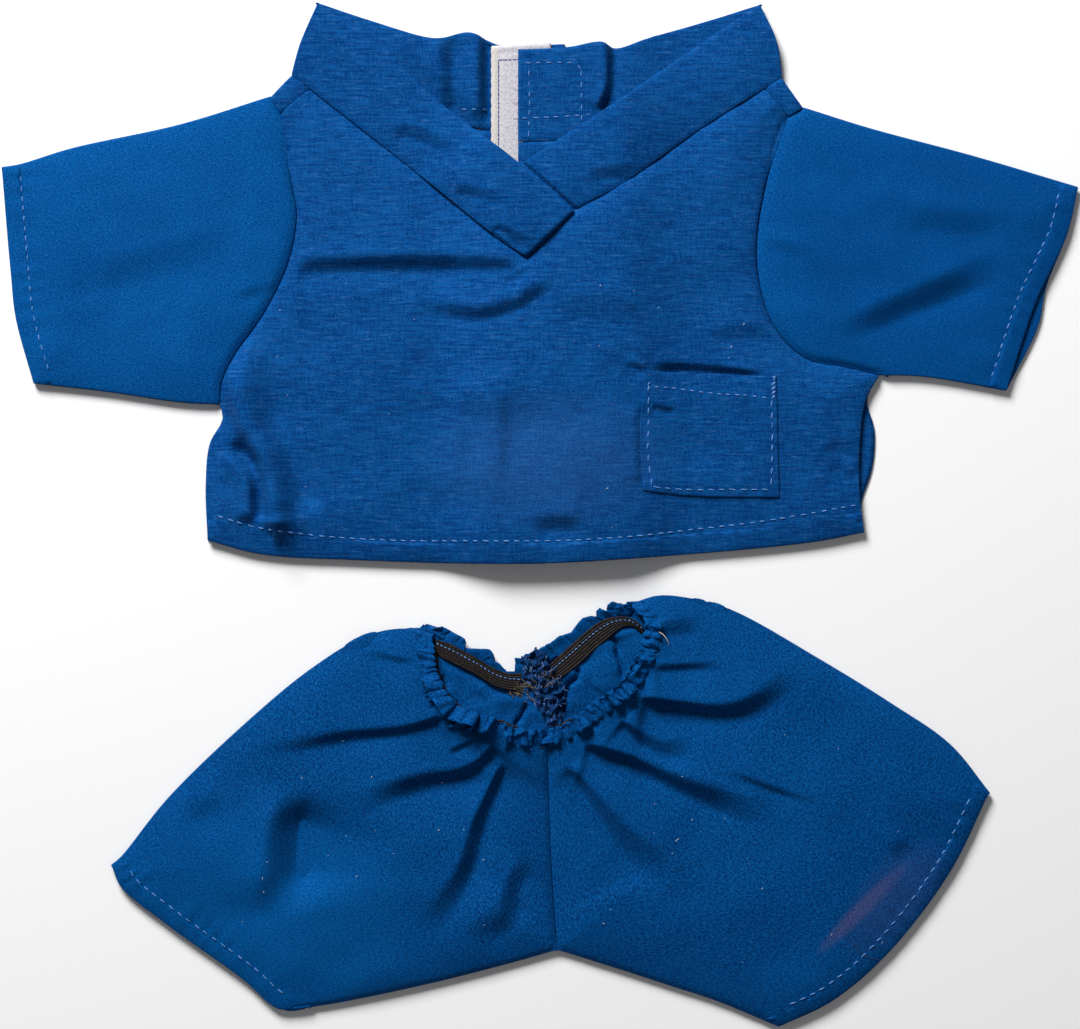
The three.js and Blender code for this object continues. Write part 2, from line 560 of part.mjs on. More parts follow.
function legPlan(leg, waist, centre, waves) {
  const steps = waves * WAVE.pointsEach;
  const foldRun = LEG_ROWS.map((share) => leg.fold.getPointAt(share));
  return fill({
    top: run(waist, steps),
    bottom: run(leg.cuff, steps),
    left: legRun(centre, leg.inseam),
    right: foldRun,
  });
}

// How strongly the gathers show on a row, from 1 at the waist to nothing at the thigh
const gatherShare = (j) => Math.max(0, 1 - LEG_ROWS[j] / 0.4) ** 1.5;

// Moves the waist edge in and out along the gathers
function ruffled(plan, waves, reach) {
  const steps = plan[0].length - 1;
  return plan.map((row, j) => row.map((point, i) => {
    if (j > 1 || i === 0 || i === steps) {
      return point;
    }
    const outward = plan[0][i].clone().sub(plan[2][i]).normalize();
    const wave = Math.sin(2 * Math.PI * waves * i / steps);
    return point.clone().addScaledVector(outward, reach * wave * (1 - 0.5 * j));
  }));
}

// The underside of a leg's front layer without its gathers
function frontBaseOf(leg) {
  const waistRun = run(leg.frontWaist, 24);
  const seamRun = legRun(CENTRE_FRONT, leg.inseam);
  const edges = [seamRun, run(leg.cuff, 12), run(leg.fold, 12)];
  const waistLift = (x, y) => WAIST.lift * (1 - rampUp(nearest(waistRun, x, y).distance, 0, WAIST.fade));
  return (x, y, folds) => LAYER + loftAt(edges, PUFF.leg, folds, x, y) + waistLift(x, y);
}

function makeLeg(leg) {
  const frontBase = frontBaseOf(leg);
  const frontPlan = drawIn(ruffled(legPlan(leg, leg.frontWaist, CENTRE_FRONT, leg.frontWaves), leg.frontWaves,
    WAIST.frontRuffle), ["left"]);
  const backPlan = drawIn(ruffled(legPlan(leg, leg.backWaist, CENTRE_BACK, leg.backWaves), leg.backWaves,
    WAIST.backRuffle), ["left"]);
  const frontMiddle = (i, j, { x, y }) => {
    const wave = WAVE.front * gatherShare(j) * Math.sin(2 * Math.PI * i / WAVE.pointsEach);
    return WALL / 2 + frontBase(x, y, leg.folds) + wave;
  };
  const backMiddle = (i, j) => {
    return WALL / 2 + WAVE.back * gatherShare(j) * (1 - Math.cos(2 * Math.PI * i / WAVE.pointsEach));
  };
  return cloth(leg.name, wall(folded(frontPlan, backPlan, frontMiddle, backMiddle)), COLOUR.shorts);
}

// A length of elastic between two runs of points, its edges
function makeElastic(name, outerEdge, innerEdge, middleAt) {
  const middle = [outerEdge, innerEdge].map((points) => points.map(({ x, y }) => {
    return new THREE.Vector3(x, y, middleAt(x, y));
  }));
  return cloth(name, wall(middle), COLOUR.elastic, 0.9);
}

// Plan points beside a curve, moved to its inner side by a distance
function beside(line, from, to, inward, distance) {
  return Array.from({ length: ELASTIC_STEPS + 1 }, (_, k) => {
    const share = THREE.MathUtils.lerp(from, to, k / ELASTIC_STEPS);
    const sideways = levelAcross(line.getTangentAt(share)).multiplyScalar(inward);
    return line.getPointAt(share).addScaledVector(sideways, distance);
  });
}

function makeElastics() {
  const backMiddle = 1.5 * WALL + 2 * WAVE.back + 2 * GAP;
  const fronts = [LEFT_LEG, RIGHT_LEG].map((leg) => {
    const inward = leg === LEFT_LEG ? 1 : -1;
    const frontBase = frontBaseOf(leg);
    const edge = (distance) => beside(leg.frontWaist, FRONT_ELASTIC.from, FRONT_ELASTIC.to, inward, distance);
    const middleAt = (x, y) => frontBase(x, y, []) - WAVE.front - WALL / 2 - 2 * GAP;
    const name = leg.name.replace("leg", "waist_elastic_front");
    return makeElastic(name, edge(-WAIST.elasticShow), edge(WAIST.elasticWidth - WAIST.elasticShow), middleAt);
  });
  const backs = BACK_ELASTIC.map(({ name, top, inward }) => {
    const lower = beside(top, 0, 1, inward, -WAIST.elasticWidth);
    return makeElastic(name, run(top, ELASTIC_STEPS), lower, () => backMiddle);
  });
  return [...fronts, ...backs];
}

function makeAllowance() {
  const plan = fill({
    top: run(ALLOWANCE.top, ALLOWANCE.across),
    bottom: run(ALLOWANCE.bottom, ALLOWANCE.across),
    left: run(ALLOWANCE.left, ALLOWANCE.down),
    right: run(ALLOWANCE.right, ALLOWANCE.down),
  });
  const bed = LAYER + 2 * WAVE.back;
  const middle = plan.map((row, j) => row.map(({ x, y }, i) => {
    return new THREE.Vector3(x, y, WALL / 2 + bed + ALLOWANCE.crumple * (1 + Math.sin(2 * i + 1.3 * j)) / 2);
  }));
  return cloth("centre_back_seam_allowance", wall(middle), COLOUR.shorts);
}

const scrubs = new THREE.Group();
scrubs.name = "doll_scrubs";
scrubs.add(
  makeFront(),
  makeLeftBack(),
  makeRightBack(),
  makeTape("loop_tape", LOOP_TAPE, LAYER),
  makeTape("hook_tape", HOOK_TAPE, 2 * LAYER),
  ...makeNeckband(),
  makePocket(),
  makeSleeve("sleeve_left", {
    armhole: ARMHOLE_LEFT,
    under: SLEEVE_UNDER_LEFT,
    fold: SLEEVE_FOLD_LEFT,
    cuff: CUFF_LEFT,
    backCuff: CUFF_LEFT,
    folds: LEFT_SLEEVE_FOLDS,
  }),
  makeSleeve("sleeve_right", {
    armhole: ARMHOLE_RIGHT,
    under: SLEEVE_UNDER_RIGHT,
    fold: SLEEVE_FOLD_RIGHT,
    cuff: CUFF_RIGHT,
    backCuff: BACK_CUFF_RIGHT,
    folds: RIGHT_SLEEVE_FOLDS,
  }),
  makeLeg(LEFT_LEG),
  makeLeg(RIGHT_LEG),
  ...makeElastics(),
  makeAllowance(),
);

// The origin is the middle of the underside
const box = new THREE.Box3().setFromObject(scrubs);
scrubs.position.set(-(box.min.x + box.max.x) / 2, -(box.min.y + box.max.y) / 2, -box.min.z);

export default scrubs;
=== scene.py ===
"""A doll's medical scrubs laid flat: a V-neck top with a chest pocket and a tape closure, over gathered shorts."""

import math

import bmesh
import bpy
import numpy as np
from mathutils import Matrix, Vector
from mathutils.bvhtree import BVHTree


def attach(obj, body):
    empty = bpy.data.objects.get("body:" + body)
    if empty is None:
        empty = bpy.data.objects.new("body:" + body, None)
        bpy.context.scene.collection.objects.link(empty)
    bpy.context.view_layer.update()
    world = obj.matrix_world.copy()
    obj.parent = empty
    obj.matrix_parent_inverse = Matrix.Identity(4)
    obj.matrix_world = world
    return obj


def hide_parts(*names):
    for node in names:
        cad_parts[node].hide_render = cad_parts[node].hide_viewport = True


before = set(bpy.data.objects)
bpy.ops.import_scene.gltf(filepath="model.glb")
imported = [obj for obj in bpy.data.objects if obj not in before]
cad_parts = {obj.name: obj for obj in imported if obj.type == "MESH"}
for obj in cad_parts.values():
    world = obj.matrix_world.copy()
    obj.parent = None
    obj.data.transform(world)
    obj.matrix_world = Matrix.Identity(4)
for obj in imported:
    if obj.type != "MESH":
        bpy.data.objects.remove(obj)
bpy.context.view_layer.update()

# Sizes are in millimetres unless a name says otherwise, and MM turns them into metres
MM = 0.001
CLOTH = 0.4  # thickness of the woven cloth
HEM_TURN = 0.42  # radius at which a hem turns under
HEM_WIDTH = 7.0
CUFF_TURN = 0.36  # the same at the sleeves' and the legs' ends
SLEEVE_HEM = 5.8
LEG_HEM = 5.4
SEAM_ROLL = 0.5  # radius at which cloth rounds down into a seam
WALL = 1.0  # thickness of a layer in the solids
LAYER = 1.3  # from one layer of the solids to the next
BACK_TOP = 0.5  # height of the back layers' upper side
CLOSURE_LIFT = 3 * LAYER  # the two tapes and the overlapping back panel
FRONT_SLACK = 0.4
FRONT_PUFF = 2.4  # how far the middle of a front layer stands over its edges
SLEEVE_PUFF = 1.6
LEG_PUFF = 3.2
BAND_LIFT = 1.2  # the neckband over the front panel's bed
BACK_BAND_LIFT = 0.4
POCKET_LIFT = 0.55
FOLD_DEPTH = 1.9  # millimetres of height for a fold whose drop is 1
POINT_SPACING = 1.25  # between the points of the laid cloth
FRILL = {"pitch": 3.1, "rise": 0.9, "length": 5.5}  # pleats of the back of the waist
MOUTH_MIDDLE = (0.0, -52.0)  # middle of the waist's opening

# Closure
TAPE_WIDTH = 20
LOOP_TAPE = {"left": -16.3, "top": 156, "bottom": -10}
HOOK_TAPE = {"left": -5.6, "top": 153, "bottom": -9}
LEFT_BACK_EDGE = 8.3
RIGHT_BACK_EDGE = -7.3
TAPE_THICKNESS = 0.8
TAPE_INSET = 2.4  # from a tape's edge to its stitches

# Elastic
ELASTIC_WIDTH = 5.3
ELASTIC_THICKNESS = 0.55
ELASTIC_RIBS = 7
RIB_HEIGHT = 0.34
BACK_ELASTIC_HEIGHT = 3.4
FRONT_ELASTIC_HEIGHT = 4.4

# View
LENS = 120
SENSOR_WIDTH = 36
FRAME_WIDTH = 0.36  # metres across the picture
VIEW_HEIGHT = 0.003  # height of the plane that the camera frames, in metres


# Curves and plan grids

def curve(*points):
    """A smooth line through the given points, as closely spaced points."""
    knots = np.array(points, float)
    knots = np.vstack([2 * knots[0] - knots[1], knots, 2 * knots[-1] - knots[-2]])
    steps = np.linspace(0, 1, 17)[:-1, None]
    line = []
    for a, b, c, d in zip(knots, knots[1:], knots[2:], knots[3:]):
        t1 = np.linalg.norm(b - a) ** 0.5
        t2 = t1 + np.linalg.norm(c - b) ** 0.5
        t3 = t2 + np.linalg.norm(d - c) ** 0.5
        t = t1 + (t2 - t1) * steps
        ab = a + (b - a) * t / t1
        bc = b + (c - b) * (t - t1) / (t2 - t1)
        cd = c + (d - c) * (t - t2) / (t3 - t2)
        abc = ab + (bc - ab) * t / t2
        bcd = bc + (cd - bc) * (t - t1) / (t3 - t1)
        line.append(abc + (bcd - abc) * (t - t1) / (t2 - t1))
    return np.vstack([*line, knots[-2:-1]])


def lengths(line):
    return np.concatenate([[0], np.cumsum(np.linalg.norm(np.diff(line, axis=0), axis=1))])


def along(line, shares):
    """Points at the given shares of a line's length."""
    run_lengths = lengths(line)
    where = np.asarray(shares) * run_lengths[-1]
    return np.stack([np.interp(where, run_lengths, line[:, k]) for k in range(line.shape[1])], axis=-1)


def run(line, steps):
    return along(line, np.linspace(0, 1, steps + 1))


def stretch(line, start, end, steps):
    return along(line, np.linspace(start, end, steps + 1))


def beside(line, start, end, side, distance, steps=60):
    """A line beside another one, on its left where side is 1 and on its right where it is -1."""
    points = stretch(line, start, end, steps)
    tangent = np.gradient(points, axis=0)
    tangent /= np.linalg.norm(tangent, axis=1, keepdims=True)
    return points + np.stack([-tangent[:, 1], tangent[:, 0]], axis=1) * side * np.reshape(distance, (-1, 1))


def joined(*runs):
    return np.vstack([runs[0], *[points[1:] for points in runs[1:]]])


def share_at_x(line, x):
    return float(np.interp(x, line[:, 0], lengths(line)) / lengths(line)[-1])


def fill(top, bottom, left, right):
    """A plan grid between four sides: top and bottom run across, left and right run down."""
    u = np.linspace(0, 1, len(top))[None, :, None]
    v = np.linspace(0, 1, len(left))[:, None, None]
    rows = (1 - v) * top[None] + v * bottom[None]
    columns = (1 - u) * left[:, None] + u * right[:, None]
    corners = (1 - v) * ((1 - u) * top[0] + u * top[-1]) + v * ((1 - u) * bottom[0] + u * bottom[-1])
    return rows + columns - corners


def nearest(line, plan):
    """Signed distance to a line, above zero on its left, and the share of the line where it is nearest."""
    best = np.full(plan.shape[:-1], np.inf)
    side = np.ones(plan.shape[:-1])
    share = np.zeros(plan.shape[:-1])
    for k, (start, end) in enumerate(zip(line, line[1:])):
        way = end - start
        from_start = plan - start
        t = np.clip((from_start @ way) / max(way @ way, 1e-9), 0, 1)
        gap = np.linalg.norm(from_start - t[..., None] * way, axis=-1)
        closer = gap < best
        best = np.where(closer, gap, best)
        turn = way[0] * from_start[..., 1] - way[1] * from_start[..., 0]
        side = np.where(closer, np.where(turn >= 0, 1, -1), side)
        share = np.where(closer, (k + t) / (len(line) - 1), share)
    return best * side, share


def smooth_step(value, start, end):
    t = np.clip((value - start) / (end - start), 0, 1)
    return t * t * (3 - 2 * t)


def folds_at(folds, plan):
    """Sum of the soft folds. Each is a bank: the cloth steps down across its path, from the left of it to the right,
    and comes back slowly on both sides. A fold is its drop, its half width at the start and at the end of its path,
    how far it reaches, how much of the path fades in and out, and the path's points."""
    total = np.zeros(plan.shape[:-1])
    for drop, narrow, wide, reach, fade_in, fade_out, *path in folds:
        distance, share = nearest(run(curve(*path), 16), plan)
        width = narrow + (wide - narrow) * share
        slope = np.clip(0.5 - distance / width / 2, 0, 1)
        step = 0.5 * slope + 0.5 * smooth_step(slope, 0, 1)
        ends = smooth_step(share, 0, fade_in) * (1 - smooth_step(share, 1 - fade_out, 1))
        total += FOLD_DEPTH * drop * ends * (0.4 - step) * np.exp(-np.maximum(np.abs(distance) - width, 0) / reach)
    return total


def ridges_at(ridges, plan):
    """Rounded ridges. Each is a path, a rise, and a width on its left and on its right."""
    total = np.zeros(plan.shape[:-1])
    for path, rise, left_width, right_width in ridges:
        distance, share = nearest(run(curve(*path), 12), plan)
        width = np.where(distance > 0, left_width, right_width)
        total += rise * (1 - smooth_step(share, 0.5, 1.0)) * np.exp(-(distance / width) ** 2)
    return total


def ripples(plan, size, height, seed, stretch_x=1.0):
    """Gentle unevenness of laid cloth, from a few seeded waves."""
    draw = np.random.default_rng(seed)
    total = np.zeros(plan.shape[:-1])
    waves = 9
    for _ in range(waves):
        angle = draw.uniform(0, math.pi)
        length = size * draw.uniform(0.6, 1.7)
        phase = draw.uniform(0, 2 * math.pi)
        way = np.array([math.cos(angle) * stretch_x, math.sin(angle)])
        total += np.sin(plan @ way * 2 * math.pi / length + phase)
    return total * height / math.sqrt(waves)


def dip(distance, depth, width):
    """A groove along a seam."""
    return -depth * np.exp(-(distance / width) ** 2)


# Sheets

def normals_of(grid):
    along_row = np.gradient(grid, axis=1)
    down_rows = np.gradient(grid, axis=0)
    normal = np.cross(down_rows, along_row)
    return normal / np.maximum(np.linalg.norm(normal, axis=-1, keepdims=True), 1e-9)


def evened(rows, rounds):
    for _ in range(rounds):
        rows = np.concatenate([rows[:1], (rows[:-2] + 2 * rows[1:-1] + rows[2:]) / 4, rows[-1:]])
    return rows / np.maximum(np.linalg.norm(rows, axis=-1, keepdims=True), 1e-9)


def turn_edge(grid, edge, radius, turn, tail=0.0, facing=1, steps=5, tail_steps=3, even=0, reach=1):
    """Turns one edge of a sheet towards its inner side, through an angle, and carries a tail on from there."""
    flips = {"bottom": lambda g: g, "top": lambda g: g[::-1], "right": lambda g: g.swapaxes(0, 1),
             "left": lambda g: g.swapaxes(0, 1)[::-1]}
    back = {"bottom": lambda g: g, "top": lambda g: g[::-1], "right": lambda g: g.swapaxes(0, 1),
            "left": lambda g: g[::-1].swapaxes(0, 1)}
    normal = evened(flips[edge](normals_of(grid) * facing)[-1], even)
    sheet = flips[edge](grid).copy()
    outward = evened(sheet[-1] - sheet[-1 - reach], even)
    outward -= (outward * normal).sum(-1, keepdims=True) * normal
    outward /= np.maximum(np.linalg.norm(outward, axis=-1, keepdims=True), 1e-9)
    near = int((np.linalg.norm(sheet[:-1] - sheet[-1], axis=-1).mean(axis=1) < radius * 1.3).sum())
    sheet[-1] -= outward * radius * min(1, math.sin(min(turn, math.pi / 2)))
    start = sheet[-2 - near].copy()
    for k in range(1, near + 1):
        sheet[-2 - near + k] = start + (sheet[-1] - start) * k / (near + 1)
    extra = []
    for angle in np.linspace(0, turn, steps + 1)[1:]:
        extra.append(sheet[-1] + outward * radius * math.sin(angle) - normal * radius * (1 - math.cos(angle)))
    way = outward * math.cos(turn) - normal * math.sin(turn)
    for share in np.linspace(0, 1, tail_steps + 1)[1:]:
        if tail:
            extra.append(extra[steps - 1] + way * tail * share)
    return back[edge](np.concatenate([sheet, np.array(extra)]))


def seam_edges(grid, edges, radius, tail, facing=1):
    """Rounds the named edges of a sheet down by a quarter turn."""
    for edge in edges:
        grid = turn_edge(grid, edge, radius, math.pi / 2, tail, facing=facing, steps=3, tail_steps=1)
    return grid


def mesh_object(name, shape):
    """A smooth-shaded object from a bmesh, which is freed."""
    mesh = bpy.data.meshes.new(name)
    shape.to_mesh(mesh)
    shape.free()
    mesh.polygons.foreach_set("use_smooth", np.ones(len(mesh.polygons), bool))
    return linked(bpy.data.objects.new(name, mesh))


def linked(obj):
    bpy.context.scene.collection.objects.link(obj)
    return obj


def sheet_object(name, grid, cloth_at=None, facing=1, thickness=CLOTH):
    """A cloth object from a grid of points on its upper side. cloth_at holds the place of each point on the cut."""
    rows, columns = grid.shape[:2]
    grid = grid.copy()
    grid[..., 2] = np.maximum(grid[..., 2], 0.06)
    shape = bmesh.new()
    shape.loops.layers.uv.new("cloth")
    bmesh.ops.create_grid(shape, x_segments=columns - 1, y_segments=rows - 1, size=0.5)
    if facing < 0:
        bmesh.ops.reverse_faces(shape, faces=shape.faces[:])
    obj = mesh_object(name, shape)
    mesh = obj.data
    places = np.zeros(len(mesh.vertices) * 3, np.float32)
    mesh.vertices.foreach_get("co", places)
    places = places.reshape(-1, 3)
    i = np.rint((places[:, 0] + 0.5) * (columns - 1)).astype(int)
    j = np.rint((0.5 - places[:, 1]) * (rows - 1)).astype(int)
    mesh.vertices.foreach_set("co", (grid[j, i] * MM).astype(np.float32).ravel())
    corner = np.zeros(len(mesh.loops), np.int32)
    mesh.loops.foreach_get("vertex_index", corner)
    cut = grid[..., :2] if cloth_at is None else cloth_at
    mesh.uv_layers["cloth"].data.foreach_set("uv", (cut[j, i] * MM)[corner].astype(np.float32).ravel())
    mesh.update()
    wall = obj.modifiers.new("cloth", "SOLIDIFY")
    wall.thickness = thickness * MM
    wall.offset = -1
    wall.use_even_offset = False
    return obj


def raise_plan(plan, height):
    return np.concatenate([plan, height[..., None]], axis=-1)


def surface_of(obj):
    """A function that gives the height and facing of an object's upper side at a plan point, in millimetres."""
    mesh = obj.data
    places = [v.co / MM for v in mesh.vertices]
    tree = BVHTree.FromPolygons(places, [p.vertices[:] for p in mesh.polygons])

    def find(x, y):
        hit, normal, _, _ = tree.ray_cast(Vector((x, y, 60)), Vector((0, 0, -1)))
        if hit is None:
            hit, normal, _, _ = tree.find_nearest(Vector((x, y, 4)))
        if normal.z < 0:
            normal = -normal
        return hit, normal

    return find


# Outlines, from the same points as the solids

HEM_LEFT = (-111, -8.7)
HEM_RIGHT = (108.3, -6)
UNDERARM_LEFT = (-107, 36.7)
UNDERARM_RIGHT = (113.3, 46.5)
SHOULDER_LEFT = (-89.7, 139.7)
SHOULDER_RIGHT = (87.7, 136)
NECK_LEFT = (-83, 146.6)
NECK_RIGHT = (80.9, 145.6)
NECK_POINT = (-4.3, 85.3)
WRAP_NECK_LEFT = (-77, 142)  # ends of the seams where the back's shoulder strips meet the front
WRAP_ARM_LEFT = (-86.6, 134)
WRAP_NECK_RIGHT = (75.3, 141.8)
WRAP_ARM_RIGHT = (82.7, 133)
BAND_LEFT = (-74, 171)
BAND_RIGHT = (73.3, 170.4)
CUFF_LEFT_TOP = (-179.7, 116)
CUFF_LEFT_UNDER = (-169, 43.7)
CUFF_RIGHT_TOP = (179.7, 109.3)
CUFF_RIGHT_UNDER = (155.7, 41.3)

HEM = curve(HEM_LEFT, (-93.3, -13.3), (-63.3, -15.2), (-6.7, -16.5), (38.3, -14.2), (91, -9.3), HEM_RIGHT)
SHOULDER_SEAM_LEFT = curve(NECK_LEFT, SHOULDER_LEFT)
SHOULDER_SEAM_RIGHT = curve(NECK_RIGHT, SHOULDER_RIGHT)
ARMHOLE_POINTS_LEFT = [(-83, 110.3), (-81.3, 100), (-84, 84.3), (-92.3, 67), (-102.3, 52.7), (-106.3, 44),
                       UNDERARM_LEFT]
ARMHOLE_POINTS_RIGHT = [(75.3, 109.7), (72.3, 90), (73.3, 77), (77, 65), (83.3, 56.3), (90.7, 51.3),
                        (101.7, 49.3), UNDERARM_RIGHT]
ARMHOLE_LEFT = curve(SHOULDER_LEFT, (-85.3, 131), *ARMHOLE_POINTS_LEFT)
ARMHOLE_RIGHT = curve(SHOULDER_RIGHT, WRAP_ARM_RIGHT, *ARMHOLE_POINTS_RIGHT)
FRONT_ARMHOLE_LEFT = curve(WRAP_ARM_LEFT, *ARMHOLE_POINTS_LEFT)
FRONT_ARMHOLE_RIGHT = curve(WRAP_ARM_RIGHT, *ARMHOLE_POINTS_RIGHT)
SIDE_LEFT = curve(UNDERARM_LEFT, (-106, 32), (-110.3, 23.7), (-111.7, 9.7), HEM_LEFT)
SIDE_RIGHT = curve(UNDERARM_RIGHT, (108.7, 37.7), (106.7, 20), (107, 4), HEM_RIGHT)
BACK_SIDE_RIGHT = curve(UNDERARM_RIGHT, (109.3, 38.3), (111.7, 28.3), (111, 15.7), (107.3, 3.3), HEM_RIGHT)
NECK_SEAM_LEFT = curve(NECK_LEFT, (-63.3, 131.2), (-37.3, 110.7), (-15.3, 92.7), NECK_POINT)
NECK_SEAM_RIGHT = curve(NECK_POINT, (10.7, 100.3), (26.7, 109.3), (53.7, 128.5), NECK_RIGHT)
BACK_NECK_LEFT = curve(NECK_LEFT, (-53.3, 136.5), (-20, 128.6), (LEFT_BACK_EDGE, 125.4))
BACK_NECK_RIGHT = curve((RIGHT_BACK_EDGE, 124), (7, 124.6), (50, 135.5), NECK_RIGHT)
BAND_LEFT_EDGE = curve(BAND_LEFT, (-56, 157.7), (-30, 134.7), (-9, 118.7), (11.7, 100.7))
BAND_LEFT_FOLD = curve(NECK_LEFT, (-80, 157), BAND_LEFT)
BAND_LAP_END = curve(NECK_POINT, (11.7, 100.7))
BAND_RIGHT_EDGE = curve((-27.3, 102.7), (2, 122.3), (24, 136.7), (51.3, 155.7), BAND_RIGHT)
BAND_RIGHT_FOLD = curve(NECK_RIGHT, (79, 157.5), BAND_RIGHT)
BAND_HIDDEN_END = curve(NECK_POINT, (-27.3, 102.7))
BACK_BAND_LEFT_TOP = curve(BAND_LEFT, (-56, 165), (-35, 159), (-23.3, 160.9), (-13.3, 156.9), (LEFT_BACK_EDGE, 157.3))
BACK_BAND_RIGHT_TOP = curve((RIGHT_BACK_EDGE, 155), (9, 155.8), (20.3, 157.5), (25.3, 155.7), (36.7, 159.3), (60, 166.2),
                            BAND_RIGHT)
SLEEVE_FOLD_LEFT = curve(SHOULDER_LEFT, (-120, 130.3), (-156.3, 122.3), (-174, 116.9), CUFF_LEFT_TOP)
SLEEVE_UNDER_LEFT = curve(UNDERARM_LEFT, (-119.3, 37.3), (-145.3, 41), CUFF_LEFT_UNDER)
CUFF_LEFT = curve(CUFF_LEFT_TOP, (-176.7, 81.3), (-175, 65.7), CUFF_LEFT_UNDER)
SLEEVE_FOLD_RIGHT = curve(SHOULDER_RIGHT, (110, 129), (144.7, 119.7), CUFF_RIGHT_TOP)
SLEEVE_UNDER_RIGHT = curve(UNDERARM_RIGHT, (128, 46), CUFF_RIGHT_UNDER)
CUFF_RIGHT = curve(CUFF_RIGHT_TOP, (176, 93.7), (165.7, 71.3), (160.7, 57), CUFF_RIGHT_UNDER)
BACK_CUFF_RIGHT = curve(CUFF_RIGHT_TOP, (176, 93.7), (169, 75.7), (166.4, 63), CUFF_RIGHT_UNDER)

POCKET_TOP = curve((35, 47.7), (78.7, 46))
POCKET_BOTTOM = curve((34.3, 8), (50, 6.2), (79.7, 5.7))
POCKET_LEFT = curve((35, 47.7), (33.3, 28.3), (34.3, 8))
POCKET_RIGHT = curve((78.7, 46), (79.7, 5.7))

# Stitch lines

HEM_STITCH_LINE = [(-108.0, -0.3), (-95.7, -4.0), (-87.7, -5.3), (-71.7, -7.3), (-47.3, -8.7), (-23.0, -8.8),
                   (6.7, -8.7), (20.7, -8.0), (33.7, -7.0), (53.7, -4.7), (69.0, -3.0), (84.0, -0.7), (106.3, 3.3)]
POCKET_STITCHES = [
    [(36.0, 43.7), (36.0, 29.0), (35.8, 21.7), (36.3, 15.7), (37.3, 9.3)],
    [(37.3, 9.2), (43.3, 8.6), (50.5, 8.2), (62.7, 8.3), (76.6, 8.3)],
    [(77.1, 38.7), (77.3, 26.0), (77.2, 16.7), (76.8, 9.0)],
]
POCKET_HEM_STITCHES = [
    [(37.3, 42.4), (41.9, 42.2), (46.5, 41.7), (52.6, 40.9), (60.2, 40.0), (67.9, 39.7), (76.0, 38.7)],
]
POCKET_TACKS = [
    [(36.0, 47.8), (36.2, 46.0)],
    [(36.3, 44.3), (36.0, 41.0)],
    [(78.1, 47.2), (77.8, 38.3)],
    [(77.5, 44.3), (77.5, 38.3)],
]
FLAP_STITCHES = [
    [(-5.7, 150.2), (2.7, 150.4), (11.7, 150.3)],
    [(12.3, 149.7), (14.0, 147.7)],
    [(-3.7, 148.3), (-3.5, 138.3), (-3.8, 125.0)],
    [(13.7, 148.3), (13.8, 138.3), (13.9, 130.3)],
    [(-6.7, 131.8), (5.3, 132.3), (17.7, 133.2)],
]
LEFT_BAND_STITCHES = [
    [(-27.3, 135.3), (-22.0, 135.1), (-16.7, 135.0)],
]
FLAP_FRAY_PLACES = (146, 141, 137.5, 136.8, 136, 134.2, 132, 131.3, 130.9, 129.5, 127)
CREAM_PATH = [(39, -38.7, 6.4), (41, -40, 7.6), (42.4, -42, 7.4), (43, -43.6, 6.2)]
HAIR_PATH = [(103, -140), (104.7, -143.3), (108.7, -147.3), (114, -148.7)]

# Outlines of the shorts

FRONT_CENTRE = (2.3, -71.6)
BACK_CENTRE = (-8, -52.3)
CROTCH_POINT = (5.7, -145.3)
WAIST_LEFT = (-35.3, -39.7)
WAIST_RIGHT = (31.3, -29.3)
CENTRE_FRONT = curve(FRONT_CENTRE, (3.3, -106.7), (4.3, -126), CROTCH_POINT)
CENTRE_BACK = curve(BACK_CENTRE, (-0.7, -63.3), (4, -76.7), (4, -106.7), CROTCH_POINT)
CROTCH_SHARE = 0.44  # share of a leg's rows that lies above the crotch

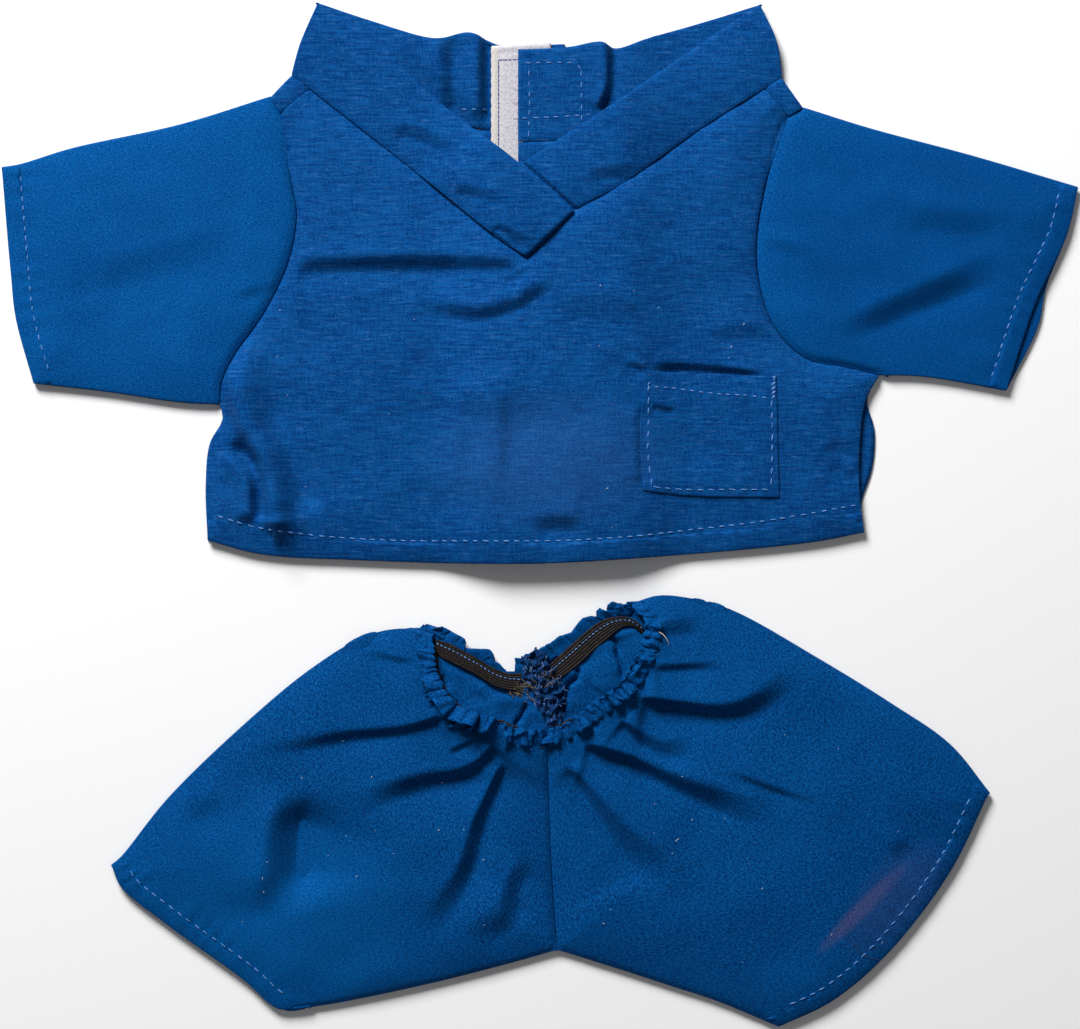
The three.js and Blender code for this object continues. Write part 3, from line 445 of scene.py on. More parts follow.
LEFT_LEG = {
    "node": "leg_left", "facing": -1, "seed": 21, "lint": ((-110, -140), (-10, -70)),
    "curls": [
        (((-29.8, -70.3), (-26, -69.3), (-22, -68), (-20.3, -64)), 1.7, 0.8, 0.8),
        (((-34.2, -57), (-36.7, -64.6)), 1.1, 0.7, 0.7), (((-30.5, -61.5), (-33.5, -69)), 1.1, 0.8, 0.8),
        (((-11.2, -72.5), (-11.2, -80)), 1.3, 0.8, 0.8), (((-9.5, -73.7), (-3.2, -71.7)), 0.9, 0.7, 0.7),
        (((-2, -71.5), (-3.7, -77)), 1.0, 0.7, 0.7), (((0.3, -71), (0.9, -76.5)), 0.9, 0.6, 0.6),
    ],
    "slits": [[(-4.6, -64), (-5.9, -67.2), (-8.4, -70.4)], [(-33, -55), (-31.5, -60), (-28, -64)]],
    "back_folds": [
        (0.7, 0.5, 0.5, 3, 0.3, 0.3, (-33, -56), (-30, -62), (-25, -66)),
        (0.7, 0.5, 0.7, 4, 0.3, 0.2, (-4, -63), (-5.5, -67), (-9, -71)),
        (0.5, 0.8, 0.8, 3, 0.3, 0.3, (-22, -58), (-18, -62)),
    ],
    "front_waist": curve(FRONT_CENTRE, (-3.3, -71.8), (-8.3, -71), (-16, -68), (-24.7, -65.6), (-30.8, -60.4),
                         (-34.5, -51.5), WAIST_LEFT),
    "fold": curve(WAIST_LEFT, (-46, -38), (-58.7, -40.7), (-76.3, -51.3), (-97.7, -69), (-124.3, -94.7), (-140, -114.3),
                  (-143.3, -117)),
    "inseam": curve(CROTCH_POINT, (-9.7, -149.7), (-34.3, -156), (-63.7, -162.3), (-82, -165.3)),
    "cuff": curve((-82, -165.3), (-88, -164.7), (-99, -155.3), (-124.7, -136.7), (-140.3, -123.7), (-143.3, -117)),
    "folds": [
        (1.7, 3.2, 0.8, 9, 0.6, 0.05, (-105.7, -80), (-92, -77.7), (-78.3, -75.7), (-65.7, -73.3), (-44, -71),
         (-32.3, -67)),
        (2.3, 4.8, 0.9, 12, 0.5, 0.05, (-68.3, -100.3), (-61.7, -96.7), (-51, -92.3), (-39, -88.3), (-26.3, -86),
         (-19.7, -82), (-15, -76.3)),
        (0.8, 0.9, 0.7, 4, 0.3, 0.1, (-31.3, -79.3), (-20.7, -74.3)),
        (2.6, 4.8, 1.1, 11, 0.5, 0.08, (-41, -146.7), (-36.3, -137), (-29.3, -126), (-24.3, -116.3), (-20.7, -102.7),
         (-15.7, -91), (-11.7, -81.7)),
        (4.6, 7.0, 5.0, 14, 0.35, 0.3, (-85, -134), (-86, -119), (-85, -104), (-81, -90)),
        (2.2, 3.5, 3.0, 8, 0.3, 0.35, (-8, -139), (-10, -128), (-4, -113)),
        (1.2, 5.0, 5.0, 10, 0.4, 0.4, (-24, -143), (-14, -135), (-6, -124)),
        (0.9, 4, 4, 10, 0.4, 0.4, (-122, -99), (-105, -94.5)),
        (0.9, 1.2, 1.2, 6, 0.4, 0.3, (-60, -45.6), (-41, -49.3)),
    ],
    "pleats": [
        (2.3, -71.3, 1, 5), (-0.8, -70.9, 1.5, 6), (-2.3, -71.7, 1.1, 5), (-3.7, -72.7, 1.2, 8),
        (-9.0, -72.7, 1.7, 9), (-11.2, -72.7, 1, 6), (-13.7, -70.0, 1.1, 7), (-17.3, -67.3, 1.2, 5),
        (-20.3, -64.7, 2.2, 8), (-23.8, -65.7, 1.3, 6), (-28.3, -63.3, 1.7, 10), (-31.9, -61.0, 1.5, 9),
        (-33.3, -58.3, 1.2, 7), (-35.3, -55.0, 1, 6), (-35.3, -52.0, 1, 5), (-35.3, -50.3, 1, 5),
        (-35.7, -48.0, 1, 4.5), (-35.7, -45.7, 0.9, 5), (-35.3, -43.3, 0.5, 4), (-35.3, -41.7, 0.5, 4),
    ],
    "back_waist": [
        (-8, -52.3), (-11.3, -52.2), (-13.3, -49.7), (-15, -49), (-16, -46.3), (-16.7, -45), (-22.3, -44.7),
        (-24.6, -44.5), (-24.7, -41.3), (-29, -38.7), (-30.3, -37.7), (-32, -36.7), (-33.7, -37), (-35.3, -39.7),
    ],
}
RIGHT_LEG = {
    "node": "leg_right", "facing": 1, "seed": 33, "lint": ((10, -150), (120, -70)),
    "curls": [
        (((22.1, -59.2), (31.5, -63)), 1.5, 0.9, 0.9), (((27.3, -56), (33.4, -62)), 1.2, 0.8, 0.8),
        (((30.5, -45), (38.5, -49.8)), 1.5, 0.9, 0.9), (((37, -41.5), (39.6, -45)), 1.3, 0.8, 0.8),
        (((31.5, -52.5), (34.5, -48)), 1.2, 0.8, 0.8), (((33, -37), (38, -34)), 1.2, 0.9, 0.9),
        (((6, -71.5), (8.5, -78)), 1.0, 0.8, 0.8), (((13, -66.5), (17, -76)), 0.9, 1.0, 1.0),
    ],
    "slits": [
        [(23.8, -40.8), (25.7, -44.3), (25.3, -46.8), (26.6, -50), (27.6, -53.8)],
        [(12.6, -51.9), (12.9, -54.5), (10.1, -56.4), (9.4, -60.2), (7.8, -64), (8.8, -67.2)],
        [(9.2, -57), (8.2, -60.5), (7, -64)],
    ],
    "back_folds": [
        (0.9, 0.4, 0.5, 3, 0.15, 0.15, (27.3, -53.7), (26.3, -50), (25.3, -44.7), (24, -41)),
        (0.8, 0.5, 0.6, 3, 0.15, 0.15, (12, -51.7), (12.7, -54.7), (10.7, -56.7), (9.3, -60), (6.7, -64.3), (9.3, -68)),
        (0.5, 0.8, 0.8, 3, 0.3, 0.3, (16, -56), (22, -60)),
    ],
    "front_waist": curve(FRONT_CENTRE, (6.8, -70.6), (12.9, -66.6), (20.4, -61), (27, -55.9), (31.4, -49), (34.6, -41.6),
                         (35.3, -34.3), WAIST_RIGHT),
    "fold": curve(WAIST_RIGHT, (39.3, -27), (49, -27.7), (63.7, -31.7), (93, -48), (117.3, -63), (137, -76.7),
                  (150.3, -93)),
    "inseam": curve(CROTCH_POINT, (29.3, -152.7), (44, -157.5), (58.7, -162.3), (79.7, -171)),
    "cuff": curve((79.7, -171), (97.7, -162.3), (116.3, -146.3), (137, -119.3), (150.3, -93)),
    "folds": [
        (1.0, 1.0, 1.4, 6, 0.1, 0.5, (38, -50.8), (50, -50.4), (64, -50.2)),
        (2.8, 0.7, 4.6, 11, 0.06, 0.45, (33.1, -61), (46.9, -63.5), (59, -65), (67, -63.9), (75.1, -60.2), (83.2, -54.6),
         (91, -50.5)),
        (1.8, 0.7, 4.8, 8, 0.08, 0.45, (26.7, -68.3), (34.7, -74.7), (42.8, -78), (55, -75)),
        (2.9, 0.8, 5.2, 11, 0.05, 0.4, (14.7, -76.5), (29.3, -81.4), (44, -88.3), (58.7, -94), (68.4, -98), (80, -99.2)),
        (2.7, 0.9, 7.0, 10, 0.08, 0.4, (8.8, -83.3), (17.6, -94), (25.3, -103.9), (33.2, -112.7), (39, -119.5),
         (39.5, -129)),
        (0.8, 1.0, 1.0, 6, 0.3, 0.5, (58.7, -83.7), (78.3, -91.3), (96, -97)),
        (0.9, 3.0, 3.0, 8, 0.4, 0.4, (115, -114), (124, -108)),
        (1.4, 2.6, 3.4, 7, 0.2, 0.4, (38.5, -38.6), (46, -37), (55, -37)),
    ],
    "pleats": [
        (2.3, -71.3, 0.9, 5), (4.6, -71.0, 1.2, 6), (7.0, -70.3, 0.9, 5), (10.0, -68.3, 1.4, 8),
        (13.2, -67.0, 1.5, 6.5), (15.5, -65.7, 1.5, 6.5), (18.1, -64.0, 1.5, 6.5), (20.1, -62.3, 1.3, 6),
        (21.8, -60.7, 1.6, 9), (24.3, -58.3, 1.3, 10), (26.4, -56.3, 1.6, 10), (28.0, -54.3, 1.3, 8),
        (30.0, -51.7, 1.2, 6), (31.7, -49.0, 1.6, 8), (32.7, -45.7, 1.4, 8), (33.7, -43.3, 1.7, 7),
        (35.0, -40.7, 1.5, 6), (35.3, -38.0, 1, 6), (34.0, -35.3, 0.7, 5), (31.3, -29.3, 0.5, 4),
    ],
    "back_waist": [
        (-8, -52.3), (-8.3, -47.7), (-6, -47.8), (-5, -46.5), (-2, -46.2), (0.7, -44), (3.7, -42.3), (6.3, -40.3),
        (10.3, -39), (12.7, -35.7), (14.3, -34), (17, -33.3), (19, -33.3), (18.7, -31.7), (19.7, -30.7), (22.3, -31.7),
        (22.7, -29.3), (24, -28.3), (25.5, -29.5), (27.7, -30), (29.3, -28.3), (31.3, -28.6),
    ],
}
BACK_ELASTICS = {
    "waist_elastic_back_left": (
        [(-34.7, -41.7), (-30.2, -43), (-25, -45.7), (-20.7, -48), (-16.3, -50.7), (-11.3, -52.7), (-6, -53)],
        [(-35, -44.6), (-33.5, -47.2), (-30, -49), (-26.1, -51), (-20.3, -54), (-15.8, -56.9), (-11.3, -58.3),
         (-7, -59)]),
    "waist_elastic_back_right": (
        [(2.5, -50.6), (9.7, -44), (15, -39.3), (19.7, -35.8), (23.7, -34.3), (27, -34), (30.7, -35), (34, -37.5)],
        [(6, -55.3), (12.7, -50.3), (18, -45.3), (22.3, -41.7), (25, -39.3), (28, -37.3), (31, -37.3),
         (34.6, -39.6)]),
}

# Folds of the top

TOP_FOLDS = [
    (1.8, 2.7, 2.7, 12, 0.05, 0.06, (-81.5, 83), (-46.7, 84), (-13.3, 83.5), (-6, 83.3)),
    (1.5, 2.6, 2.4, 10, 0.35, 0.25, (-44, 71.6), (-31, 68.3), (-19, 67.1), (-8.5, 70), (1.2, 75.6), (8, 77.5)),
    (0.7, 1.0, 1.0, 3, 0.3, 0.3, (-12.5, 77.2), (-4, 81.5)),
    (3.4, 1.9, 2.4, 6, 0.12, 0.2, (-95, -3), (-95.3, 5), (-95.8, 12), (-99, 17), (-105.5, 23)),
    (1.5, 3.6, 4.2, 10, 0.12, 0.35, (-80, -2), (-84.5, 12), (-90, 26), (-93, 40), (-95, 56)),
    (1.1, 1.4, 1.6, 4, 0.3, 0.2, (98, 26), (107, 17.8)),
    (1.15, 1.4, 0.7, 4, 0.15, 0.25, (36, 48.9), (46.8, 49.4), (55.7, 48.8), (64.6, 48), (77, 46.6)),
    (0.8, 0.9, 0.8, 3, 0.3, 0.05, (28.5, 51), (35, 48.2)),
    (0.7, 1.2, 1.2, 3, 0.15, 0.2, (33.2, 9), (32.8, 24), (33, 38)),
    (1.2, 1.5, 1.5, 3, 0.3, 0.2, (98.5, 18.5), (103, 13.8), (108.5, 16.5)),
    (0.8, 2.6, 2.6, 9, 0.3, 0.2, (55, 60.5), (79, 61)),
    (1.3, 3.0, 3.0, 6, 0.35, 0.3, (-5, -3.4), (5, -2.4), (15.5, -3.4)),
    (0.9, 5.0, 5.0, 12, 0.3, 0.3, (4, 70), (20, 69), (36, 65)),
    (0.7, 2.4, 2.4, 9, 0.4, 0.4, (-13, 2), (-12, 26), (-12, 48)),
    (0.6, 2.4, 2.4, 9, 0.4, 0.4, (-26, 4), (-25.5, 20), (-25, 44)),
    (0.6, 5, 5, 14, 0.4, 0.4, (-60, 34), (-30, 38), (0, 30)),
]
BODY_RIDGES = [
    (((-89, -2), (-90.1, 9.3), (-91.7, 17.4), (-95, 22.5), (-100.5, 33.7), (-102.5, 42), (-102, 54), (-101, 66), (-101, 80)),
     6.2, 2.4, 6.2),
]
LEFT_SLEEVE_FOLDS = [
    (0.7, 6, 6, 16, 0.4, 0.4, (-172, 76), (-130, 84), (-95, 96)),
    (0.7, 1.8, 1.2, 5, 0.5, 0.1, (-104, 72), (-88, 76)),
]
RIGHT_SLEEVE_FOLDS = [
    (2.0, 3.8, 5.2, 14, 0.35, 0.35, (96, 59), (117.3, 68.3), (135.3, 75.7), (156, 85)),
    (0.8, 1.2, 3.0, 6, 0.1, 0.5, (75, 91), (92, 86)),
    (0.7, 4, 4, 12, 0.3, 0.4, (118, 100), (160, 96)),
]


# Materials

def new_material(name, settings):
    """A material with its tree and its shader, whose plain inputs are set here."""
    material = bpy.data.materials.new(name)
    material.use_nodes = True
    shader = material.node_tree.nodes["Principled BSDF"]
    for key, value in settings.items():
        shader.inputs[key].default_value = value
    return material, material.node_tree, shader


def add(tree, kind, **settings):
    node = tree.nodes.new(kind)
    for key, value in settings.items():
        if key in node.inputs:
            node.inputs[key].default_value = value
        else:
            setattr(node, key, value)
    return node


def feed(tree, value, socket):
    """Sets a socket to a number or a colour, or links another socket to it."""
    if isinstance(value, (int, float)):
        socket.default_value = value
    elif isinstance(value, tuple):
        socket.default_value = (*value, 1)
    else:
        tree.links.new(value, socket)


def scaled_noise(tree, source, scale, detail=2.0, roughness=0.5):
    mapping = add(tree, "ShaderNodeMapping", Scale=scale)
    noise = add(tree, "ShaderNodeTexNoise", Detail=detail, Roughness=roughness, Scale=1.0)
    feed(tree, source, mapping.inputs["Vector"])
    feed(tree, mapping.outputs["Vector"], noise.inputs["Vector"])
    return noise.outputs["Fac"]


def ramp(tree, value, low, high, low_to=0.0, high_to=1.0):
    limits = {"From Min": low, "From Max": high, "To Min": low_to, "To Max": high_to}
    node = add(tree, "ShaderNodeMapRange", **limits)
    feed(tree, value, node.inputs["Value"])
    return node.outputs["Result"]


def math_node(tree, operation, first, second):
    node = add(tree, "ShaderNodeMath", operation=operation)
    feed(tree, first, node.inputs[0])
    feed(tree, second, node.inputs[1])
    return node.outputs[0]


def mix_colour(tree, share, first, second):
    node = add(tree, "ShaderNodeMix", data_type="RGBA")
    for socket, value in ((0, share), (6, first), (7, second)):
        feed(tree, value, node.inputs[socket])
    return node.outputs[2]


def add_bump(tree, shader, height, strength, distance):
    bump = add(tree, "ShaderNodeBump", Strength=strength, Distance=distance)
    feed(tree, height, bump.inputs["Height"])
    feed(tree, bump.outputs["Normal"], shader.inputs["Normal"])


def spot_on(tree, place, centre, size, angle):
    """An oval that fades from 1 in its middle to 0 at its edge. Its centre and size are in millimetres."""
    spot = add(tree, "ShaderNodeMapping", vector_type="TEXTURE", Location=(centre[0] * MM, centre[1] * MM, 0),
               Rotation=(0, 0, math.radians(angle)), Scale=(size[0] * MM, size[1] * MM, 1))
    oval = add(tree, "ShaderNodeTexGradient", gradient_type="SPHERICAL")
    feed(tree, place, spot.inputs["Vector"])
    feed(tree, spot.outputs["Vector"], oval.inputs["Vector"])
    return oval.outputs["Fac"]


def woven_blue(name, dark, light, pale, slub, sheen, contrast, marks=()):
    """Plain-woven poly-cotton: slubs along one way of the cloth, a finer cross thread, flecks and broad unevenness.
    Marks are ovals of real stains and wear, and of painted shade and painted light; each is its centre, size, angle,
    colour and strength."""
    material, tree, shader = new_material(name, {
        "Specular IOR Level": 0.12, "Specular Tint": (0.04, 0.33, 1, 1),
        "Sheen Weight": sheen, "Sheen Roughness": 0.5, "Sheen Tint": (0.04, 0.35, 1, 1),
    })
    cloth = add(tree, "ShaderNodeUVMap", uv_map="cloth").outputs["UV"]
    slubs = scaled_noise(tree, cloth, slub, 2, 0.6)
    cross = scaled_noise(tree, cloth, (slub[1] * 0.9, slub[0] * 2.2, 1), 2, 0.5)
    grain = scaled_noise(tree, cloth, (2300, 2300, 1), 2, 0.7)
    broad = scaled_noise(tree, cloth, (24, 30, 1), 4, 0.6)
    shade = math_node(tree, "MULTIPLY", slubs, 0.36)
    for part, weight in ((cross, 0.2), (grain, 0.44)):
        shade = math_node(tree, "ADD", shade, math_node(tree, "MULTIPLY", part, weight))
    shade = math_node(tree, "ADD", shade, ramp(tree, broad, 0.3, 0.7, -0.025, 0.025))
    colour = mix_colour(tree, ramp(tree, shade, 0.5 - contrast, 0.5 + contrast), dark, light)
    flecks = scaled_noise(tree, cloth, (slub[0] * 2, slub[1] * 0.9, 1), 1, 0.5)
    colour = mix_colour(tree, ramp(tree, flecks, 0.58, 0.78, 0, 0.35), colour, pale)
    specks = scaled_noise(tree, cloth, (1900, 2300, 1), 1, 0.5)
    colour = mix_colour(tree, ramp(tree, specks, 0.6, 0.74, 0, 0.6), colour, pale)
    place = add(tree, "ShaderNodeTexCoord").outputs["Object"]
    for centre, size, angle, mark, strength in marks:
        # each mark's share, broken up by the grain; some marks are real stains and wear, others painted shade and
        # painted light
        stain_wear_and_painted_light = math_node(tree, "MULTIPLY", ramp(tree, spot_on(tree, place, centre, size, angle), 0, 0.6, 0, strength),
                         ramp(tree, grain, 0.35, 0.6))
        colour = mix_colour(tree, stain_wear_and_painted_light, colour, mark)
    feed(tree, colour, shader.inputs["Base Color"])
    feed(tree, ramp(tree, slubs, 0.3, 0.7, 0.85, 0.65), shader.inputs["Roughness"])
    add_bump(tree, shader, shade, 0.4, 0.00014)
    return material


# The body's mark is a greyer, lighter oval over the closure: painted sheen, with some real wear where the closure rubs
# beneath.
BODY_BLUE = woven_blue("body_blue", (0.0007, 0.028, 0.135), (0.003, 0.07, 0.25), (0.035, 0.14, 0.37),
                       (110, 1250, 1), 0.1, 0.068, [((2, 18), (46, 26), 0, (0.022, 0.09, 0.28), 0.5)])
# The sleeves' mark darkens the right sleeve: painted shade, for the light falling off towards the right.
SLEEVE_BLUE = woven_blue("sleeve_blue", (0.0003, 0.033, 0.145), (0.0012, 0.082, 0.288), (0.02, 0.156, 0.43),
                         (1100, 1900, 1), 0.08, 0.085, [((145, 85), (90, 75), 0, (0.0006, 0.036, 0.16), 0.55)])
SHORTS_BLUE = woven_blue("shorts_blue", (0.0003, 0.021, 0.1), (0.0012, 0.069, 0.245), (0.014, 0.14, 0.4),
                         (2100, 950, 1), 0.08, 0.06,
                         [((107.7, -130.7), (23, 3.4), 45, (0.1, 0.085, 0.19), 0.75),
                          ((118, -128), (26, 13), 50, (0.03, 0.06, 0.2), 0.5),
                          # This mark lightens the lower left leg: painted light, as the light falls brighter on the
                          # left.
                          ((-95, -138), (74, 46), 0, (0.0015, 0.095, 0.32), 0.65)])
# The seam allowance's cloth is the shorts' blue made far darker: painted shade, for the occlusion around it at the back
# of the waist.
SHADED_TAB_BLUE = woven_blue("seam_tab_blue_painted_shade", (0.001, 0.008, 0.035), (0.004, 0.04, 0.15), (0.05, 0.1, 0.22),
                      (1500, 950, 1), 0.05, 0.08)


def thread_material(name, dark, light, roughness=0.6):
    material, tree, shader = new_material(name, {"Roughness": roughness, "Specular IOR Level": 0.3})
    place = add(tree, "ShaderNodeTexCoord").outputs["Object"]
    twist = scaled_noise(tree, place, (1800, 1800, 1800), 1, 0.5)
    feed(tree, mix_colour(tree, ramp(tree, twist, 0.3, 0.7), dark, light), shader.inputs["Base Color"])
    return material


def tape_material():
    """Loop tape: white fuzz, with a yellower woven selvedge on its left."""
    material, tree, shader = new_material("loop_tape_white", {"Roughness": 0.95, "Sheen Weight": 0.2})
    place = add(tree, "ShaderNodeTexCoord").outputs["Object"]
    fuzz = scaled_noise(tree, place, (1500, 1500, 1500), 3, 0.7)
    colour = mix_colour(tree, ramp(tree, fuzz, 0.3, 0.7), (0.36, 0.35, 0.385), (0.6, 0.585, 0.62))
    across = add(tree, "ShaderNodeSeparateXYZ")
    feed(tree, place, across.inputs[0])
    edge = LOOP_TAPE["left"]
    selvedge = ramp(tree, across.outputs[0], (edge + 2.2) * MM, (edge + 2.6) * MM, 0.75, 0)
    feed(tree, mix_colour(tree, selvedge, colour, (0.56, 0.52, 0.47)), shader.inputs["Base Color"])
    add_bump(tree, shader, fuzz, 0.8, 0.0003)
    return material


def elastic_material():
    material, tree, shader = new_material("braided_elastic", {"Roughness": 0.7, "Specular IOR Level": 0.22})
    cloth = add(tree, "ShaderNodeUVMap", uv_map="cloth").outputs["UV"]
    braid = scaled_noise(tree, cloth, (1600, 900, 1), 2, 0.6)
    wear = scaled_noise(tree, cloth, (260, 500, 1), 2, 0.6)
    colour = mix_colour(tree, ramp(tree, braid, 0.35, 0.65), (0.002, 0.0018, 0.002), (0.017, 0.012, 0.01))
    colour = mix_colour(tree, ramp(tree, wear, 0.58, 0.8, 0, 0.3), colour, (0.09, 0.058, 0.036))
    feed(tree, colour, shader.inputs["Base Color"])
    add_bump(tree, shader, braid, 0.6, 0.0002)
    return material


THREAD = thread_material("sewing_thread", (0.03, 0.13, 0.38), (0.12, 0.27, 0.6))
DARK_THREAD = thread_material("tape_thread", (0.02, 0.05, 0.2), (0.06, 0.12, 0.34))
FRAY_PALE = thread_material("pale_fray_thread", (0.08, 0.18, 0.42), (0.3, 0.4, 0.6), 0.8)
FRAY_BLUE = thread_material("blue_fray_thread", (0.002, 0.02, 0.08), (0.01, 0.07, 0.24), 0.8)
FRAY_TAN = thread_material("elastic_fray_thread", (0.035, 0.027, 0.02), (0.2, 0.155, 0.1), 0.8)
FLAP_THREAD = thread_material("flap_thread", (0.16, 0.15, 0.3), (0.42, 0.36, 0.5), 0.8)
CREAM_THREAD = thread_material("cream_thread", (0.42, 0.34, 0.24), (0.7, 0.62, 0.5), 0.8)
HAIR_BROWN = thread_material("stray_hair", (0.02, 0.014, 0.01), (0.06, 0.04, 0.03), 0.5)
LINT_WHITE = thread_material("lint", (0.4, 0.45, 0.55), (0.75, 0.78, 0.8), 0.9)
TAPE_WHITE = tape_material()
ELASTIC_BROWN = elastic_material()


def finish_piece(obj, material, node=None):
    """Gives a piece its material and its body, and hides the solid that it stands for."""
    obj.data.materials.append(material)
    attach(obj, "root")
    if node:
        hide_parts(node)
    return obj


# Sewing, fray and lint

def sew(name, rows, find, material, pitch=3.4, length=2.1, thickness=0.5, slant=0.1, seed=0):
    """Rows of stitches: short pieces of thread that stand out of the cloth by about half of their thickness."""
    draw = np.random.default_rng(seed)
    shape = bmesh.new()
    for row in rows:
        line = curve(*row) if len(row) < 20 else np.array(row)
        whole = lengths(line)[-1]
        count = max(1, int(whole / pitch))
        for k in range(count):
            middle = (k + 0.5 + draw.uniform(-0.07, 0.07)) / count
            half = length * draw.uniform(0.85, 1.1) / 2
            start, end = along(line, [max(middle - half / whole, 0), min(middle + half / whole, 1)])
            side = np.array([start[1] - end[1], end[0] - start[0]]) * slant * draw.uniform(0.3, 1.6) / 2
            start, end = start + side, end - side
            low, first = find(*start)
            high, second = find(*end)
            way = (high - low).normalized()
            up = ((first + second) / 2).normalized()
            across = up.cross(way).normalized()
            turned = Matrix((across, way.cross(across), way)).transposed().to_4x4()
            thick = thickness * draw.uniform(0.85, 1.1) / 2
            size = Matrix.Diagonal((thick * MM, thick * MM, half * MM, 1))
            place = Matrix.Translation(((low + high) / 2 + up * 0.07) * MM)
            bmesh.ops.create_uvsphere(shape, u_segments=8, v_segments=7, radius=1, matrix=place @ turned @ size)
    return finish_piece(mesh_object(name, shape), material)


def strands(name, paths, thickness, material):
    """Loose threads, each through a few points in millimetres."""
    data = bpy.data.curves.new(name, "CURVE")
    data.dimensions = "3D"
    data.bevel_depth = thickness / 2 * MM
    data.bevel_resolution = 1
    data.resolution_u = 2
    data.use_fill_caps = True
    for path in paths:
        line = run(curve(*path), 3 * (len(path) - 1))
        spline = data.splines.new("POLY")
        spline.points.add(len(line) - 1)
        for point, place in zip(spline.points, line):
            point.co = (*(place * MM), 1)
        spline.points[0].radius = 0.6
        spline.points[-1].radius = 0.4
    return finish_piece(linked(bpy.data.objects.new(name, data)), material)


def fray(name, find, starts, way, spread, long, rise, thickness, material, seed):
    """Short cut threads that stand out of a raw edge, round one main way in degrees."""
    draw = np.random.default_rng(seed)
    paths = []
    for x, y in starts:
        angle = math.radians(way + draw.uniform(-spread, spread))
        bend = draw.uniform(-0.7, 0.7)
        step = long * draw.uniform(0.5, 1.3) / 3
        points = []
        for k in range(4):
            place, _ = find(x, y)
            points.append((x, y, place.z + rise * draw.uniform(0.1, 1) * (0.3 + k / 3)))
            x += step * math.cos(angle)
            y += step * math.sin(angle)
            angle += bend * 0.5
        paths.append(points)
    return strands(name, paths, thickness, material)


def specks(name, find, count, low, high, record_slot, seed):
    """Lint: tiny pale curls lying on the cloth between two corners."""
    draw = np.random.default_rng(seed)
    paths = []
    for _ in range(count):
        x, y = draw.uniform(low[0], high[0]), draw.uniform(low[1], high[1])
        angle = draw.uniform(0, 2 * math.pi)
        long = draw.choice([0.14, 0.2, 0.35, 0.8], p=[0.45, 0.3, 0.2, 0.05])
        points = []
        for k in range(3):
            place, _ = find(x, y)
            points.append((x, y, place.z + 0.1))
            x += long * math.cos(angle)
            y += long * math.sin(angle)
            angle += draw.uniform(-0.8, 0.8)
        paths.append(points)
    return strands(name, paths, 0.16, LINT_WHITE)


# Heights of the top's layers

def right_back_lift(x):
    return CLOSURE_LIFT * (1 - smooth_step(x, 22, 48))


def front_bed(x):
    over_left = smooth_step(x, -38, -12)
    over_right = 1 - smooth_step(x, 24, 50)
    return LAYER + (CLOSURE_LIFT + FRONT_SLACK) * over_left * over_right


def away_from(lines, plan):
    return np.min([np.abs(nearest(line, plan)[0]) for line in lines], axis=0)


FRONT_SEAMS = [run(ARMHOLE_LEFT, 40), run(ARMHOLE_RIGHT, 40), run(NECK_SEAM_LEFT, 30), run(NECK_SEAM_RIGHT, 30)]
FRONT_OUTER = [run(SIDE_LEFT, 20), run(SIDE_RIGHT, 20), run(HEM, 40)]


def front_top(plan):
    """Height of the front panel's upper side."""
    seams = away_from(FRONT_SEAMS, plan)
    outer = away_from(FRONT_OUTER, plan)
    edge = np.minimum(seams, outer)
    inside = 1 - np.exp(-edge / 9)
    height = front_bed(plan[..., 0]) + WALL + FRONT_PUFF * inside + (1 - np.exp(-edge / 4)) * (
        folds_at(TOP_FOLDS, plan) + ridges_at(BODY_RIDGES, plan))
    height += ripples(plan, 34, 0.35, 3) * inside + ripples(plan, 13, 0.1, 4) * inside
    height += dip(seams, 0.5, 0.9)
    row_gap, hem_share = nearest(run(curve(*HEM_STITCH_LINE), 60), plan)
    height += 0.1 * smooth_step(-row_gap, -2, 2) + dip(row_gap, 0.16, 0.8)
    pucker = np.sin(hem_share * 2 * math.pi * 31 + 2 * np.sin(hem_share * 17)) * np.sin(hem_share * 9 + 1)
    height += 0.16 * pucker * np.exp(-(row_gap / 5) ** 2)
    return height


def make_front():
    across = round(lengths(HEM)[-1] / POINT_SPACING) // 2
    left = joined(run(curve(WRAP_NECK_LEFT, WRAP_ARM_LEFT), 9), run(FRONT_ARMHOLE_LEFT, 90), run(SIDE_LEFT, 38))
    right = joined(run(curve(WRAP_NECK_RIGHT, WRAP_ARM_RIGHT), 9), run(FRONT_ARMHOLE_RIGHT, 90), run(SIDE_RIGHT, 38))
    left_neck = stretch(NECK_SEAM_LEFT, share_at_x(NECK_SEAM_LEFT, WRAP_NECK_LEFT[0]), 1, across)
    right_neck = stretch(NECK_SEAM_RIGHT, 0, share_at_x(NECK_SEAM_RIGHT, WRAP_NECK_RIGHT[0]), across)
    left[0], right[0] = left_neck[0], right_neck[-1]
    plan = fill(joined(left_neck, right_neck), run(HEM, 2 * across), left, right)
    grid = raise_plan(plan, front_top(plan))
    grid = seam_edges(grid, ("left", "right"), SEAM_ROLL, 0.5)
    grid = turn_edge(grid, "bottom", HEM_TURN, math.pi, HEM_WIDTH - 0.5)
    grid = turn_edge(grid, "top", 0.6, 0.35, 1.3, steps=2, tail_steps=2)
    obj = finish_piece(sheet_object("front_panel", grid), BODY_BLUE, "top_front")
    find = surface_of(obj)
    stitches = [sew("hem_stitches", [HEM_STITCH_LINE], find, THREAD, pitch=3.4, length=2.1, seed=301)]
    stitches.append(specks("front_lint", find, 26, (-95, -8), (95, 110), "body_cloth", 401))


